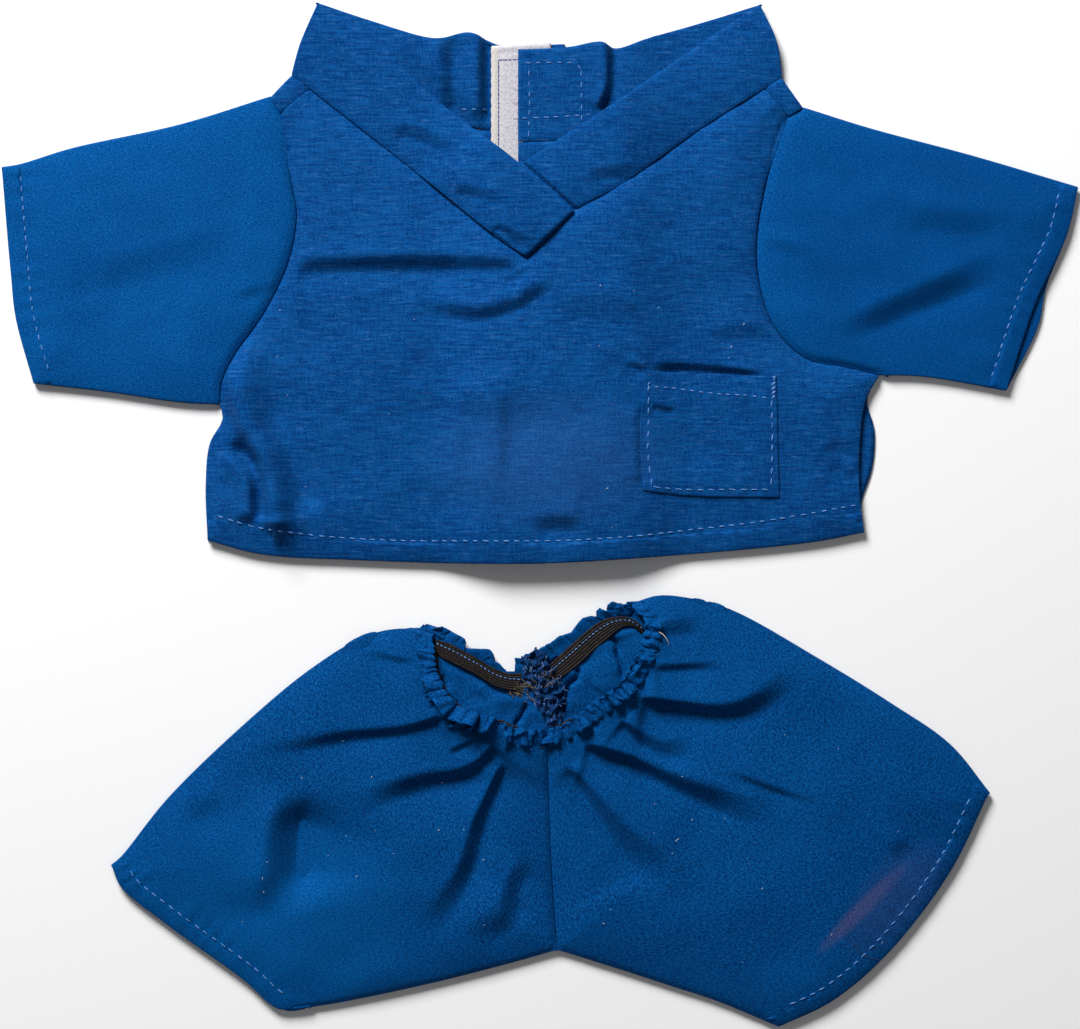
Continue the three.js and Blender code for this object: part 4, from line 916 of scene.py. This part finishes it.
def make_wrap(name, neck, arm, outer_neck, outer_arm):
    """The strip of the back panel that folds over the shoulder to meet the front panel."""
    steps = 12
    under_sleeve = np.subtract(arm, neck)
    under_sleeve = 0.4 * under_sleeve / np.linalg.norm(under_sleeve)
    arm = tuple(np.add(arm, under_sleeve))
    outer_arm = tuple(np.add(outer_arm, under_sleeve))
    plan = fill(run(curve(neck, outer_neck), steps), run(curve(arm, outer_arm), steps), run(curve(neck, arm), steps),
                run(curve(outer_neck, outer_arm), steps))
    across = np.linspace(0, 1, steps + 1)[None, :]
    down = np.linspace(0, 12, steps + 1)[:, None]
    height = LAYER + WALL - 0.2 + 0.8 * np.sin(math.pi * (0.12 + 0.7 * across)) + ripples(plan, 9, 0.08, 95)
    height -= 0.45 * np.exp(-down) + 0.45 * np.exp(down - 12)
    grid = raise_plan(plan, height)
    facing = 1 if outer_neck[0] > 0 else -1
    grid = turn_edge(grid, "right", 0.9, math.pi / 2, 0.9, facing=facing, tail_steps=1)
    grid = seam_edges(grid, ["left"], 0.25, 0.6, facing)
    grid = turn_edge(grid, "top", 0.4, 0.3, 0.8, facing=facing, steps=2, tail_steps=1)
    grid = seam_edges(grid, ["bottom"], 0.25, 0.5, facing)
    return finish_piece(sheet_object(name, grid, None, facing), BODY_BLUE)


def make_back(name, node, neck, hem, left, right, lift, edge_side, wrap):
    plan = fill(neck, hem, left, right)
    inside = 1 - np.exp(-away_from([left, right, hem, neck], plan) / 6)
    height = BACK_TOP + lift(plan[..., 0]) + ripples(plan, 25, 0.12, 8) * inside
    grid = raise_plan(plan, height)
    grid = turn_edge(grid, edge_side, HEM_TURN, math.pi, 8)
    obj = finish_piece(sheet_object(name, grid), BODY_BLUE, node)


def make_backs():
    hem_end = share_at_x(HEM, LEFT_BACK_EDGE)
    side = joined(run(SHOULDER_SEAM_LEFT, 5), run(ARMHOLE_LEFT, 50), run(SIDE_LEFT, 20))
    hem = stretch(HEM, 0, hem_end, 60)
    make_back(
        "left_back_panel", "top_back_left", run(BACK_NECK_LEFT, 60), hem, side,
        run(curve(BACK_NECK_LEFT[-1], hem[-1]), len(side) - 1), lambda x: 0 * x, "right",
        make_wrap("left_shoulder_wrap", WRAP_NECK_LEFT, WRAP_ARM_LEFT, NECK_LEFT, SHOULDER_LEFT))
    hem_start = share_at_x(HEM, RIGHT_BACK_EDGE)
    side = joined(run(SHOULDER_SEAM_RIGHT, 5), run(ARMHOLE_RIGHT, 50), run(BACK_SIDE_RIGHT, 20))
    hem = stretch(HEM, hem_start, 1, 60)
    make_back(
        "right_back_panel", "top_back_right", run(BACK_NECK_RIGHT, 60), hem,
        run(curve(BACK_NECK_RIGHT[0], hem[0]), len(side) - 1), side, right_back_lift, "left",
        make_wrap("right_shoulder_wrap", WRAP_NECK_RIGHT, WRAP_ARM_RIGHT, NECK_RIGHT, SHOULDER_RIGHT))


def folded(front_plan, back_plan, front_height, back_height, bend_steps=8):
    """A sheet folded in two: front layer to the fold, round it and back underneath. The fold is the last column."""
    fold = front_plan[:, -1]
    tangent = np.gradient(fold, axis=0)
    outward = np.stack([tangent[:, 1], -tangent[:, 0]], axis=-1)
    outward /= np.linalg.norm(outward, axis=-1, keepdims=True)
    towards = (fold - front_plan[:, -3])
    outward *= np.sign((outward * towards).sum(-1, keepdims=True))
    high = front_height[:, -1]
    low = back_height[:, -1]
    radius = (high - low) / 2

    def drawn(plan, height):
        share = np.linspace(0, 1, plan.shape[1])[None, :, None] ** 4
        moved = plan - outward[:, None] * radius[:, None, None] * share
        return raise_plan(moved, height)

    front = drawn(front_plan, front_height)
    back = drawn(back_plan, back_height)
    bends = []
    for k in range(1, bend_steps):
        angle = math.pi * k / bend_steps
        centre = (front[:, -1, :2] + back[:, -1, :2]) / 2
        place = centre + outward * (radius * math.sin(angle))[:, None]
        bends.append(np.concatenate([place, ((high + low) / 2 + radius * math.cos(angle))[:, None]], axis=-1))
    return np.concatenate([front, np.stack(bends, axis=1), back[:, ::-1]], axis=1)


def make_sleeve(name, node, armhole, under, fold, cuff, back_cuff, folds, facing, turn, seed):
    across = 70
    down = 78

    def plan_to(end):
        return fill(run(armhole, across)[::-1], run(end, across)[::-1], run(under, down), run(fold, down))

    front_plan = plan_to(cuff)
    back_plan = plan_to(back_cuff)
    armhole_gap = away_from([run(armhole, 40)], front_plan)
    edge = away_from([run(under, 30), run(fold, 30), run(armhole, 40), run(cuff, 30)], front_plan)
    inside = 1 - np.exp(-edge / 8)
    height = LAYER + WALL + inside * (SLEEVE_PUFF + folds_at(folds, front_plan)) + dip(armhole_gap, 0.8, 1.4)
    height += (ripples(front_plan, 30, 0.3, seed) + ripples(front_plan, 12, 0.08, seed + 1)) * inside
    cuff_gap, cuff_share = nearest(run(cuff, 40), front_plan)
    cuff_gap = np.abs(cuff_gap)
    height += 0.12 * (1 - smooth_step(cuff_gap, 4.6, 8)) + dip(cuff_gap - 6.3, 0.16, 0.8)
    height += 0.14 * np.sin(cuff_share * 60 + 3 * np.sin(cuff_share * 11)) * np.exp(-((cuff_gap - 6) / 5) ** 2)
    back_height = np.full(back_plan.shape[:2], BACK_TOP)
    grid = folded(front_plan, back_plan, height, back_height)
    grid = seam_edges(grid, ["left"], SEAM_ROLL, 1.0, facing)
    grid = turn_edge(grid, "bottom", CUFF_TURN, math.pi, SLEEVE_HEM, facing=facing)
    grid = seam_edges(grid, ["top"], 0.35, 0.4, facing)
    x, y = grid[..., 0], grid[..., 1]
    cut = np.stack([x * math.cos(turn) - y * math.sin(turn), x * math.sin(turn) + y * math.cos(turn)], axis=-1)
    obj = finish_piece(sheet_object(name, grid, cut, facing), SLEEVE_BLUE, node)
    find = surface_of(obj)
    row = beside(cuff, 0.04, 0.97, -facing, 6.2)
    stitches = [sew(name + "_stitches", [row], find, THREAD, pitch=3.3, length=2.0, seed=seed + 300)]


# Shorts

def leg_run(upper, lower, shares):
    """A leg's seam side, with the crotch at the same share of the rows as in the other leg."""
    above = shares[shares <= CROTCH_SHARE] / CROTCH_SHARE
    below = (shares[shares > CROTCH_SHARE] - CROTCH_SHARE) / (1 - CROTCH_SHARE)
    return np.vstack([along(upper, above), along(lower, below)])


def leg_plan(leg, waist, centre, shares, across):
    return fill(run(waist, across), run(leg["cuff"], across), leg_run(centre, leg["inseam"], shares),
                along(leg["fold"], shares))


def pleats_at(waist, pleats, plan):
    """The gathered lips along a waist edge, with sharp slits between them. A pleat is the place where the slit before
    it starts, its rise and its length. Gives their height, and how far the edge moves towards the mouth."""
    gap, share = nearest(waist, plan)
    gap = np.abs(gap)
    slits = np.array(pleats)
    starts = nearest(waist, slits[:, :2])[1]
    order = np.argsort(starts)
    slits, starts = slits[order], starts[order]
    bent = share + 0.006 * np.sin(gap * 1.1 + share * 60) * smooth_step(gap, 0, 3)
    k = np.clip(np.searchsorted(starts, bent) - 1, 0, len(starts) - 2)
    across = np.clip((bent - starts[k]) / np.maximum(starts[k + 1] - starts[k], 1e-6), 0, 1)
    fade = (1 - np.clip(gap / slits[k, 3], 0, 1) ** 2) ** 2
    lip = np.sin(math.pi * across) ** 0.6
    return slits[k, 2] * lip * fade, slits[k, 2] * (lip - 0.45) * np.exp(-gap / 1.8)


def loose_pleats(line, seed, pitch, rise, length):
    """Slits at uneven places along a line."""
    draw = np.random.default_rng(seed)
    whole = lengths(line)[-1]
    places = np.cumsum(pitch * draw.uniform(0.55, 1.6, int(2 * whole / pitch)))
    places = places[places < whole]
    return [(x, y, rise * draw.uniform(0.5, 1.4), length * draw.uniform(0.6, 1.3)) for x, y in
            along(line, np.concatenate([[0], places / whole, [1]]))]


def drawn_in(plan, amount):
    """Moves points of the waist edge towards the middle of the mouth."""
    way = MOUTH_MIDDLE - plan
    way /= np.maximum(np.linalg.norm(way, axis=-1, keepdims=True), 1e-6)
    return plan + way * amount[..., None]


def make_leg(leg):
    """A leg: one sheet folded at the outer side, gathered at the waist and hemmed at the cuff."""
    node, facing, seed = leg["node"], leg["facing"], leg["seed"]
    back_waist = np.array(leg["back_waist"])
    shares = np.linspace(0, 1, 106) ** 1.66
    across = 174
    front_plan = leg_plan(leg, leg["front_waist"], CENTRE_FRONT, shares, across)
    back_plan = leg_plan(leg, back_waist, CENTRE_BACK, shares, across)
    waist = run(leg["front_waist"], 60)
    seam = leg_run(CENTRE_FRONT, leg["inseam"], np.linspace(0, 1, 40))
    cuff = run(leg["cuff"], 40)
    seam_gap = np.abs(nearest(seam, front_plan)[0])
    fold_gap = np.abs(nearest(run(leg["fold"], 50), front_plan)[0])
    cuff_gap, cuff_share = nearest(cuff, front_plan)
    cuff_gap = np.abs(cuff_gap)
    waist_gap = np.abs(nearest(waist, front_plan)[0])
    edge = np.min([seam_gap, fold_gap, cuff_gap], axis=0)
    inside = 1 - np.exp(-edge / 9)
    height = LAYER + WALL + inside * (LEG_PUFF + folds_at(leg["folds"], front_plan))
    height += (ripples(front_plan, 40, 0.4, seed) + ripples(front_plan, 15, 0.1, seed + 1)) * inside
    height += 2.0 * (1 - smooth_step(waist_gap, 0, 24))
    lips, shift = pleats_at(waist, leg["pleats"], front_plan)
    height += 1.15 * lips + ridges_at(leg["curls"], front_plan)
    height += ripples(front_plan, 2.6, 0.3, seed + 5) * np.exp(-waist_gap / 4)
    height += dip(seam_gap, 0.5, 1.0)
    height += 0.12 * (1 - smooth_step(cuff_gap, 4.2, 7.6)) + dip(cuff_gap - 5.8, 0.16, 0.8)
    height += 0.15 * np.sin(cuff_share * 70 + 3 * np.sin(cuff_share * 13)) * np.exp(-((cuff_gap - 6) / 5) ** 2)
    back_edge = run(back_waist, 90)
    waist_back = np.abs(nearest(back_edge, back_plan)[0])
    frill = loose_pleats(back_edge, seed=seed + 2, **FRILL)
    back_lips, back_shift = pleats_at(back_edge, frill, back_plan)
    back_height = BACK_TOP + 0.8 + 1.5 * smooth_step(waist_back, 6.5, 10) - 2.3 * smooth_step(waist_back, 26, 40)
    for slit in leg["slits"]:
        back_height += dip(nearest(run(curve(*slit), 12), back_plan)[0], 2.6, 0.8)
    back_height += back_lips + folds_at(leg["back_folds"], back_plan)
    back_height += ripples(back_plan, 12, 0.3, seed + 3) * (1 - smooth_step(waist_back, 24, 40))
    grid = folded(drawn_in(front_plan, shift), drawn_in(back_plan, -0.5 * back_shift), height,
                  np.maximum(back_height, BACK_TOP))
    grid = seam_edges(grid, ["left"], 0.22, 1.2, facing)
    grid = turn_edge(grid, "bottom", CUFF_TURN, math.pi, LEG_HEM, facing=facing)
    grid = turn_edge(grid, "top", 0.42, math.pi * 0.98, 5.5, facing=facing, steps=6, tail_steps=5, even=10, reach=12)
    tail = grid[:5, 4 + front_plan.shape[1] + 7:, 2]
    tail[:] = BACK_TOP + 1.2 + (tail - BACK_TOP - 1.2) * np.array([0.1, 0.18, 0.3, 0.5, 0.8])[:, None]
    columns = grid.shape[1]
    cut_x = np.linspace(0, 170 * facing, columns)
    cut = np.stack(np.meshgrid(cut_x, -lengths(grid[:, columns // 4])), axis=-1)
    obj = finish_piece(sheet_object(node + "_cloth", grid, cut, facing), SHORTS_BLUE, node)
    find = surface_of(obj)
    row = beside(leg["cuff"], 0.05, 0.96, facing, 5.7)
    stitches = [
        sew(node + "_stitches", [row], find, THREAD, pitch=3.5, length=2.2, seed=seed + 300),
        specks(node + "_lint", find, 18, *leg["lint"], "shorts_cloth", seed + 400),
    ]
    return find


# Neckband

def make_band(node, sides, height_at, roll, folds, seam_sides=("bottom",), stitch_rows=()):
    """One stretch of the neckband, with its outer edge turned under and its other edges sewn down."""
    plan = fill(*sides)
    across = np.linspace(0, 1, len(plan))[:, None]
    top_gap = np.abs(nearest(sides[0], plan)[0])
    seam_gap = np.abs(nearest(sides[1], plan)[0])
    height = height_at(plan) + roll * np.sin(math.pi * across) + folds_at(folds, plan)
    height += ripples(plan, 18, 0.16, 70) + dip(seam_gap, 0.3, 0.8) - 0.4 * np.exp(-top_gap / 0.8)
    grid = raise_plan(plan, height)
    grid = turn_edge(grid, "top", 0.45, math.pi, 0.7, tail_steps=1)
    grid = seam_edges(grid, seam_sides, 0.4, 0.5)
    obj = finish_piece(sheet_object(node + "_cloth", grid), BODY_BLUE, node)
    find = surface_of(obj)
    if stitch_rows:
        sew(node + "_stitches", stitch_rows, find, THREAD, pitch=3.2, length=1.9,
                          thickness=0.42, seed=320)
    if node == "neckband_back_right":
        starts = [(RIGHT_BACK_EDGE, y) for y in FLAP_FRAY_PLACES]
        fray("flap_fray", find, starts, 200, 60, 1.5, 0.3, 0.2, FLAP_THREAD, 321)


def over_lap(plan):
    away = (plan[..., 0] - 2) * 0.555 - (plan[..., 1] - 122.3) * 0.832
    end_gap = np.abs(nearest(run(BAND_LAP_END, 8), plan)[0])
    return 1.35 * smooth_step(away, -20, -9) * (1 - np.exp(-end_gap / 0.5)) - 0.2 * np.exp(-end_gap / 0.5)


def left_wave(plan):
    """The left end of the back band stands in two soft waves beside the tape."""
    clear = smooth_step(nearest(run(BAND_LEFT_EDGE, 40), plan)[0], -1, 8)
    x = plan[..., 0]
    return 2.4 * clear * smooth_step(x, -56, -40) * (1 - smooth_step(x, -21, -16.8))


BAND_FOLDS = [
    (0.8, 2.2, 3.0, 6, 0.15, 0.4, (-51, 126.5), (-44, 128), (-35, 124.5), (-22, 116)),
    (0.6, 1.6, 2.0, 5, 0.2, 0.4, (-30, 108), (-22, 107.5), (-10, 103)),
    (0.8, 1.6, 2.2, 4, 0.2, 0.3, (-15, 97), (-10, 93.5), (-3, 89.5)),
]
BAND_RIGHT_FOLDS = [
    (0.6, 2.4, 2.4, 6, 0.3, 0.3, (14, 112), (24, 114), (33, 113.5)),
]
LEFT_BACK_FOLDS = [
    (1.6, 2.6, 2.8, 3, 0.02, 0.25, (-30.7, 130), (-31.2, 148), (-30.9, 163)),
    (1.2, 2.0, 2.0, 2, 0.2, 0.25, (-19.3, 130), (-19.4, 148), (-19.2, 163)),
]
RIGHT_BACK_FOLDS = [
    (2.2, 1.3, 1.5, 5, 0.12, 0.02, (19.5, 134), (22.7, 142), (23, 150), (23.2, 160)),
]


def make_neckband():
    across = 44
    crossing = run(BAND_LEFT_EDGE, 80)
    make_band("neckband_front_left",
              (run(BAND_LEFT_EDGE, 200), run(NECK_SEAM_LEFT, 200), run(BAND_LEFT_FOLD, across)[::-1],
               run(BAND_LAP_END, across)[::-1]),
              lambda plan: front_bed(plan[..., 0]) + over_lap(plan) + BAND_LIFT, 0.9, BAND_FOLDS,
              seam_sides=("bottom", "right", "left"))
    make_band("neckband_front_right",
              (run(BAND_RIGHT_EDGE, 220), run(NECK_SEAM_RIGHT, 220), run(BAND_HIDDEN_END, across)[::-1],
               run(BAND_RIGHT_FOLD, across)[::-1]),
              lambda plan: front_bed(plan[..., 0]) + BAND_LIFT + dip(nearest(crossing, plan)[0] - 0.45, 1.6, 0.7),
              0.9, BAND_RIGHT_FOLDS,
              seam_sides=("bottom", "right"))
    make_band("neckband_back_left",
              (run(BACK_BAND_LEFT_TOP, 80), run(BACK_NECK_LEFT, 80), run(BAND_LEFT_FOLD, across)[::-1],
               run(curve(BACK_BAND_LEFT_TOP[-1], BACK_NECK_LEFT[-1]), across)),
              lambda plan: BACK_TOP + BACK_BAND_LIFT + left_wave(plan), 0.3, LEFT_BACK_FOLDS,
              stitch_rows=LEFT_BAND_STITCHES)
    make_band("neckband_back_right",
              (run(BACK_BAND_RIGHT_TOP, 90), run(BACK_NECK_RIGHT, 90),
               run(curve(BACK_BAND_RIGHT_TOP[0], BACK_NECK_RIGHT[0]), across), run(BAND_RIGHT_FOLD, across)[::-1]),
              lambda plan: right_back_lift(plan[..., 0]) + BACK_TOP + BACK_BAND_LIFT, 0.2, RIGHT_BACK_FOLDS,
              stitch_rows=FLAP_STITCHES)


# Pocket, tapes and elastic

def make_pocket():
    steps = 56
    plan = fill(run(POCKET_TOP, steps), run(POCKET_BOTTOM, steps), run(POCKET_LEFT, steps), run(POCKET_RIGHT, steps))
    height = front_top(plan) + POCKET_LIFT
    sewn = [run(POCKET_LEFT, 20), run(POCKET_RIGHT, 20), run(POCKET_BOTTOM, 20)]
    gap = away_from(sewn, plan)
    mouth = np.abs(nearest(run(POCKET_TOP, 20), plan)[0])
    height += 0.3 * (1 - np.exp(-gap / 5)) + dip(gap - 2.2, 0.16, 0.7) + dip(mouth - 4.8, 0.1, 0.8)
    height += 0.6 * np.exp(-mouth / 2.5) * (1 - np.exp(-gap / 6)) + ripples(plan, 12, 0.1, 90)
    height += folds_at([(0.7, 1.0, 1.2, 3, 0.2, 0.4, (37.5, 37), (41, 35.3), (46, 35))], plan)
    grid = raise_plan(plan, height)
    for side in ("bottom", "left", "right", "top"):
        grid = turn_edge(grid, side, 0.2, math.pi * 0.7, 0.6, steps=3, tail_steps=1)
    obj = finish_piece(sheet_object("pocket", grid), BODY_BLUE, "chest_pocket")
    find = surface_of(obj)
    stitches = [
        sew("pocket_hem_stitches", POCKET_HEM_STITCHES, find, THREAD, pitch=2.9, length=1.8, seed=330),
        sew("pocket_stitches", POCKET_STITCHES, find, THREAD, pitch=3.55, length=2.4, seed=331),
        sew("pocket_tacks", POCKET_TACKS, find, THREAD, pitch=1.3, length=1.6, slant=0.5, seed=332),
    ]


def make_tape(name, place, top_height):
    left, top, bottom = place["left"], place["top"], place["bottom"]
    corner = (left, top + 0.3), (left + TAPE_WIDTH, top + 1.6), (left, bottom), (left + TAPE_WIDTH, bottom)
    plan = fill(run(curve(corner[0], corner[1]), 30), run(curve(corner[2], corner[3]), 30),
                run(curve(corner[0], corner[2]), 200), run(curve(corner[1], corner[3]), 200))
    side = np.minimum(plan[..., 0] - left, left + TAPE_WIDTH - plan[..., 0])
    slope = 0.3 + 1.3 * (plan[..., 0] - left) / TAPE_WIDTH
    end = np.minimum(top + slope - plan[..., 1], plan[..., 1] - bottom)
    border = np.minimum(side, end)
    height = top_height - 0.35 * np.exp(-border / 0.35) - dip(border - 2.6, -0.25, 0.5)
    plan[..., 0] += 0.12 * np.sin(plan[..., 1] * 1.9) * (np.abs(border) < 0.01)
    grid = raise_plan(plan, height)
    obj = finish_piece(sheet_object(name + "_strip", grid, thickness=TAPE_THICKNESS), TAPE_WHITE, name)
    low, high = bottom + TAPE_INSET, top - TAPE_INSET - 2
    row = [(left + TAPE_INSET, low), (left + TAPE_INSET, high)]
    cross = [(left + TAPE_INSET, high), (left + TAPE_WIDTH - TAPE_INSET, high + 0.4)]
    stitches = [sew(name + "_stitches", [row, cross], surface_of(obj), DARK_THREAD, pitch=1.5, length=1.5,
                    thickness=0.34, slant=0.05, seed=340)]


def make_elastic(name, top_line, bottom_line, height):
    """A braided elastic between two lines, ribbed along its length."""
    top, bottom = run(top_line, 110), run(bottom_line, 110)
    share = np.linspace(0, 1, 4 * ELASTIC_RIBS + 1)
    plan = top[None] * (1 - share)[:, None, None] + bottom[None] * share[:, None, None]
    ridge = RIB_HEIGHT * np.abs(np.sin(math.pi * share * ELASTIC_RIBS))[:, None]
    grid = raise_plan(plan, height + ridge + np.zeros(plan.shape[:2]))
    cut = np.stack(np.meshgrid(lengths(top), -share * ELASTIC_WIDTH), axis=-1)
    facing = 1 if np.cross(top[-1] - top[0], bottom[0] - top[0]) < 0 else -1
    obj = sheet_object(name + "_braid", grid, cut, facing, ELASTIC_THICKNESS)
    finish_piece(obj, ELASTIC_BROWN, name)
    row = 0.67 * top + 0.33 * bottom
    sew(name + "_stitches", [row], surface_of(obj), THREAD, pitch=1.47, length=0.95, thickness=0.42,
        slant=0.3, seed=350)


def make_elastics():
    for node, (top, bottom) in BACK_ELASTICS.items():
        make_elastic(node, curve(*top), curve(*bottom), BACK_ELASTIC_HEIGHT)
    share = np.linspace(0.03, 0.9, 61)
    shown_left = smooth_step(share, 0.44, 0.52) + smooth_step(share, 0.13, 0.18) * (1 - smooth_step(share, 0.28, 0.34))
    shown_right = smooth_step(share, 0.03, 0.06) * (1 - smooth_step(share, 0.14, 0.2)) + smooth_step(share, 0.8, 0.88)
    for leg, side, shown, node in ((LEFT_LEG, 1, shown_left, "waist_elastic_front_left"),
                                   (RIGHT_LEG, -1, shown_right, "waist_elastic_front_right")):
        upper = beside(leg["front_waist"], 0.03, 0.9, side, 1.6 - 2.4 * shown)
        lower = beside(leg["front_waist"], 0.03, 0.9, side, 6.4 - 2.4 * shown)
        make_elastic(node, upper, lower, FRONT_ELASTIC_HEIGHT)


def make_allowance():
    top = curve((-6, -48.5), (-2, -45.5), (2.6, -46.6))
    bottom = curve((2.6, -71), (5, -72), (7.4, -70))
    left = curve((-6, -48.5), (-5.4, -54), (-3, -60), (0.6, -65), (2.6, -71))
    right = curve((2.6, -46.6), (6.4, -53), (8.6, -59), (7.2, -64), (7.4, -70))
    plan = fill(run(top, 50), run(bottom, 50), run(left, 100), run(right, 100))
    across = np.linspace(0, 1, 51)[None, :]
    height = 2.9 + 1.3 * np.sin(math.pi * across) ** 0.7
    height = height + ripples(plan, 4.2, 0.9, 101, 2.2) + ripples(plan, 1.8, 0.3, 102, 1.6)
    plan = plan + np.stack([ripples(plan, 3, 0.4, 103), ripples(plan, 3, 0.4, 104)], axis=-1)
    grid = raise_plan(plan, height)
    grid = seam_edges(grid, ("left", "right", "bottom", "top"), 0.4, 0.8)
    obj = finish_piece(sheet_object("seam_allowance", grid), SHADED_TAB_BLUE, "centre_back_seam_allowance")
    find = surface_of(obj)
    draw = np.random.default_rng(120)
    on_tab = [tuple(plan[draw.integers(0, 101), draw.integers(0, 51)]) for _ in range(220)]
    loose = [
        fray("pale_fray", find, on_tab[:60], -65, 50, 1.6, 0.4, 0.13, FRAY_PALE, 121),
        fray("blue_fray", find, on_tab[60:170], -65, 60, 2.6, 0.5, 0.24, FRAY_BLUE, 122),
    ]
    left_end = [(draw.uniform(-11, -3), draw.uniform(-61, -54)) for _ in range(40)]
    right_end = [(draw.uniform(1.5, 7), draw.uniform(-57, -50.5)) for _ in range(22)]
    loose.append(fray("left_elastic_fray", find, left_end, -38, 35, 3.6, 0.8, 0.2, FRAY_TAN, 123))
    loose.append(fray("right_elastic_fray", find, right_end, 215, 40, 2.6, 0.7, 0.2, FRAY_TAN, 124))


def make_loose_threads(find):
    """A cream thread end by the waist and a stray hair near the right cuff."""
    strands("cream_thread_end", [CREAM_PATH], 0.3, CREAM_THREAD)
    hair = [(x, y, find(x, y)[0].z + 0.12) for x, y in HAIR_PATH]
    strands("stray_hair", [hair], 0.12, HAIR_BROWN)


# Camera, light and floor

def make_stage():
    shape = bmesh.new()
    just_under = Matrix.Translation((0, 0, -0.0002))
    bmesh.ops.create_grid(shape, x_segments=1, y_segments=1, size=3, matrix=just_under)
    floor = mesh_object("floor", shape)
    settings = {"Base Color": (0.86, 0.86, 0.86, 1), "Roughness": 0.9}
    floor.data.materials.append(new_material("pale_floor", settings)[0])


def area_light(name, place, size, power):
    data = bpy.data.lights.new(name, "AREA")
    data.shape = "DISK"
    data.size = size
    data.energy = power
    light = linked(bpy.data.objects.new(name, data))
    light.location = place
    light.rotation_mode = "QUATERNION"
    light.rotation_quaternion = (-Vector(place)).to_track_quat("-Z", "Y")


def make_light():
    area_light("key", (-0.58, 1.26, 0.92), 0.75, 50)
    area_light("fill", (0.6, -0.5, 1.5), 1.2, 1.5)
    world = bpy.data.worlds.new("studio")
    world.use_nodes = True
    sky = world.node_tree.nodes["Background"]
    sky.inputs["Color"].default_value = (1, 1, 1, 1)
    sky.inputs["Strength"].default_value = 0.13
    bpy.context.scene.world = world
    bpy.context.scene.view_settings.view_transform = "Standard"


def make_camera():
    data = bpy.data.cameras.new("camera")
    data.type = "PERSP"
    data.sensor_width = SENSOR_WIDTH
    data.lens = LENS
    camera = linked(bpy.data.objects.new("camera", data))
    camera.location = (0, 0, VIEW_HEIGHT + FRAME_WIDTH * LENS / SENSOR_WIDTH)
    bpy.context.scene.camera = camera


make_stage()
make_light()
make_camera()
make_front()
make_backs()
make_sleeve("left_sleeve", "sleeve_left", ARMHOLE_LEFT, SLEEVE_UNDER_LEFT, SLEEVE_FOLD_LEFT, CUFF_LEFT, CUFF_LEFT,
            LEFT_SLEEVE_FOLDS, -1, 0.2, 50)
make_sleeve("right_sleeve", "sleeve_right", ARMHOLE_RIGHT, SLEEVE_UNDER_RIGHT, SLEEVE_FOLD_RIGHT, CUFF_RIGHT,
            BACK_CUFF_RIGHT, RIGHT_SLEEVE_FOLDS, 1, -0.25, 60)
make_neckband()
make_pocket()
make_tape("loop_tape", LOOP_TAPE, 2.3)
make_tape("hook_tape", HOOK_TAPE, 3.6)
make_leg(LEFT_LEG)
right_leg_find = make_leg(RIGHT_LEG)
make_elastics()
make_allowance()
make_loose_threads(right_leg_find)
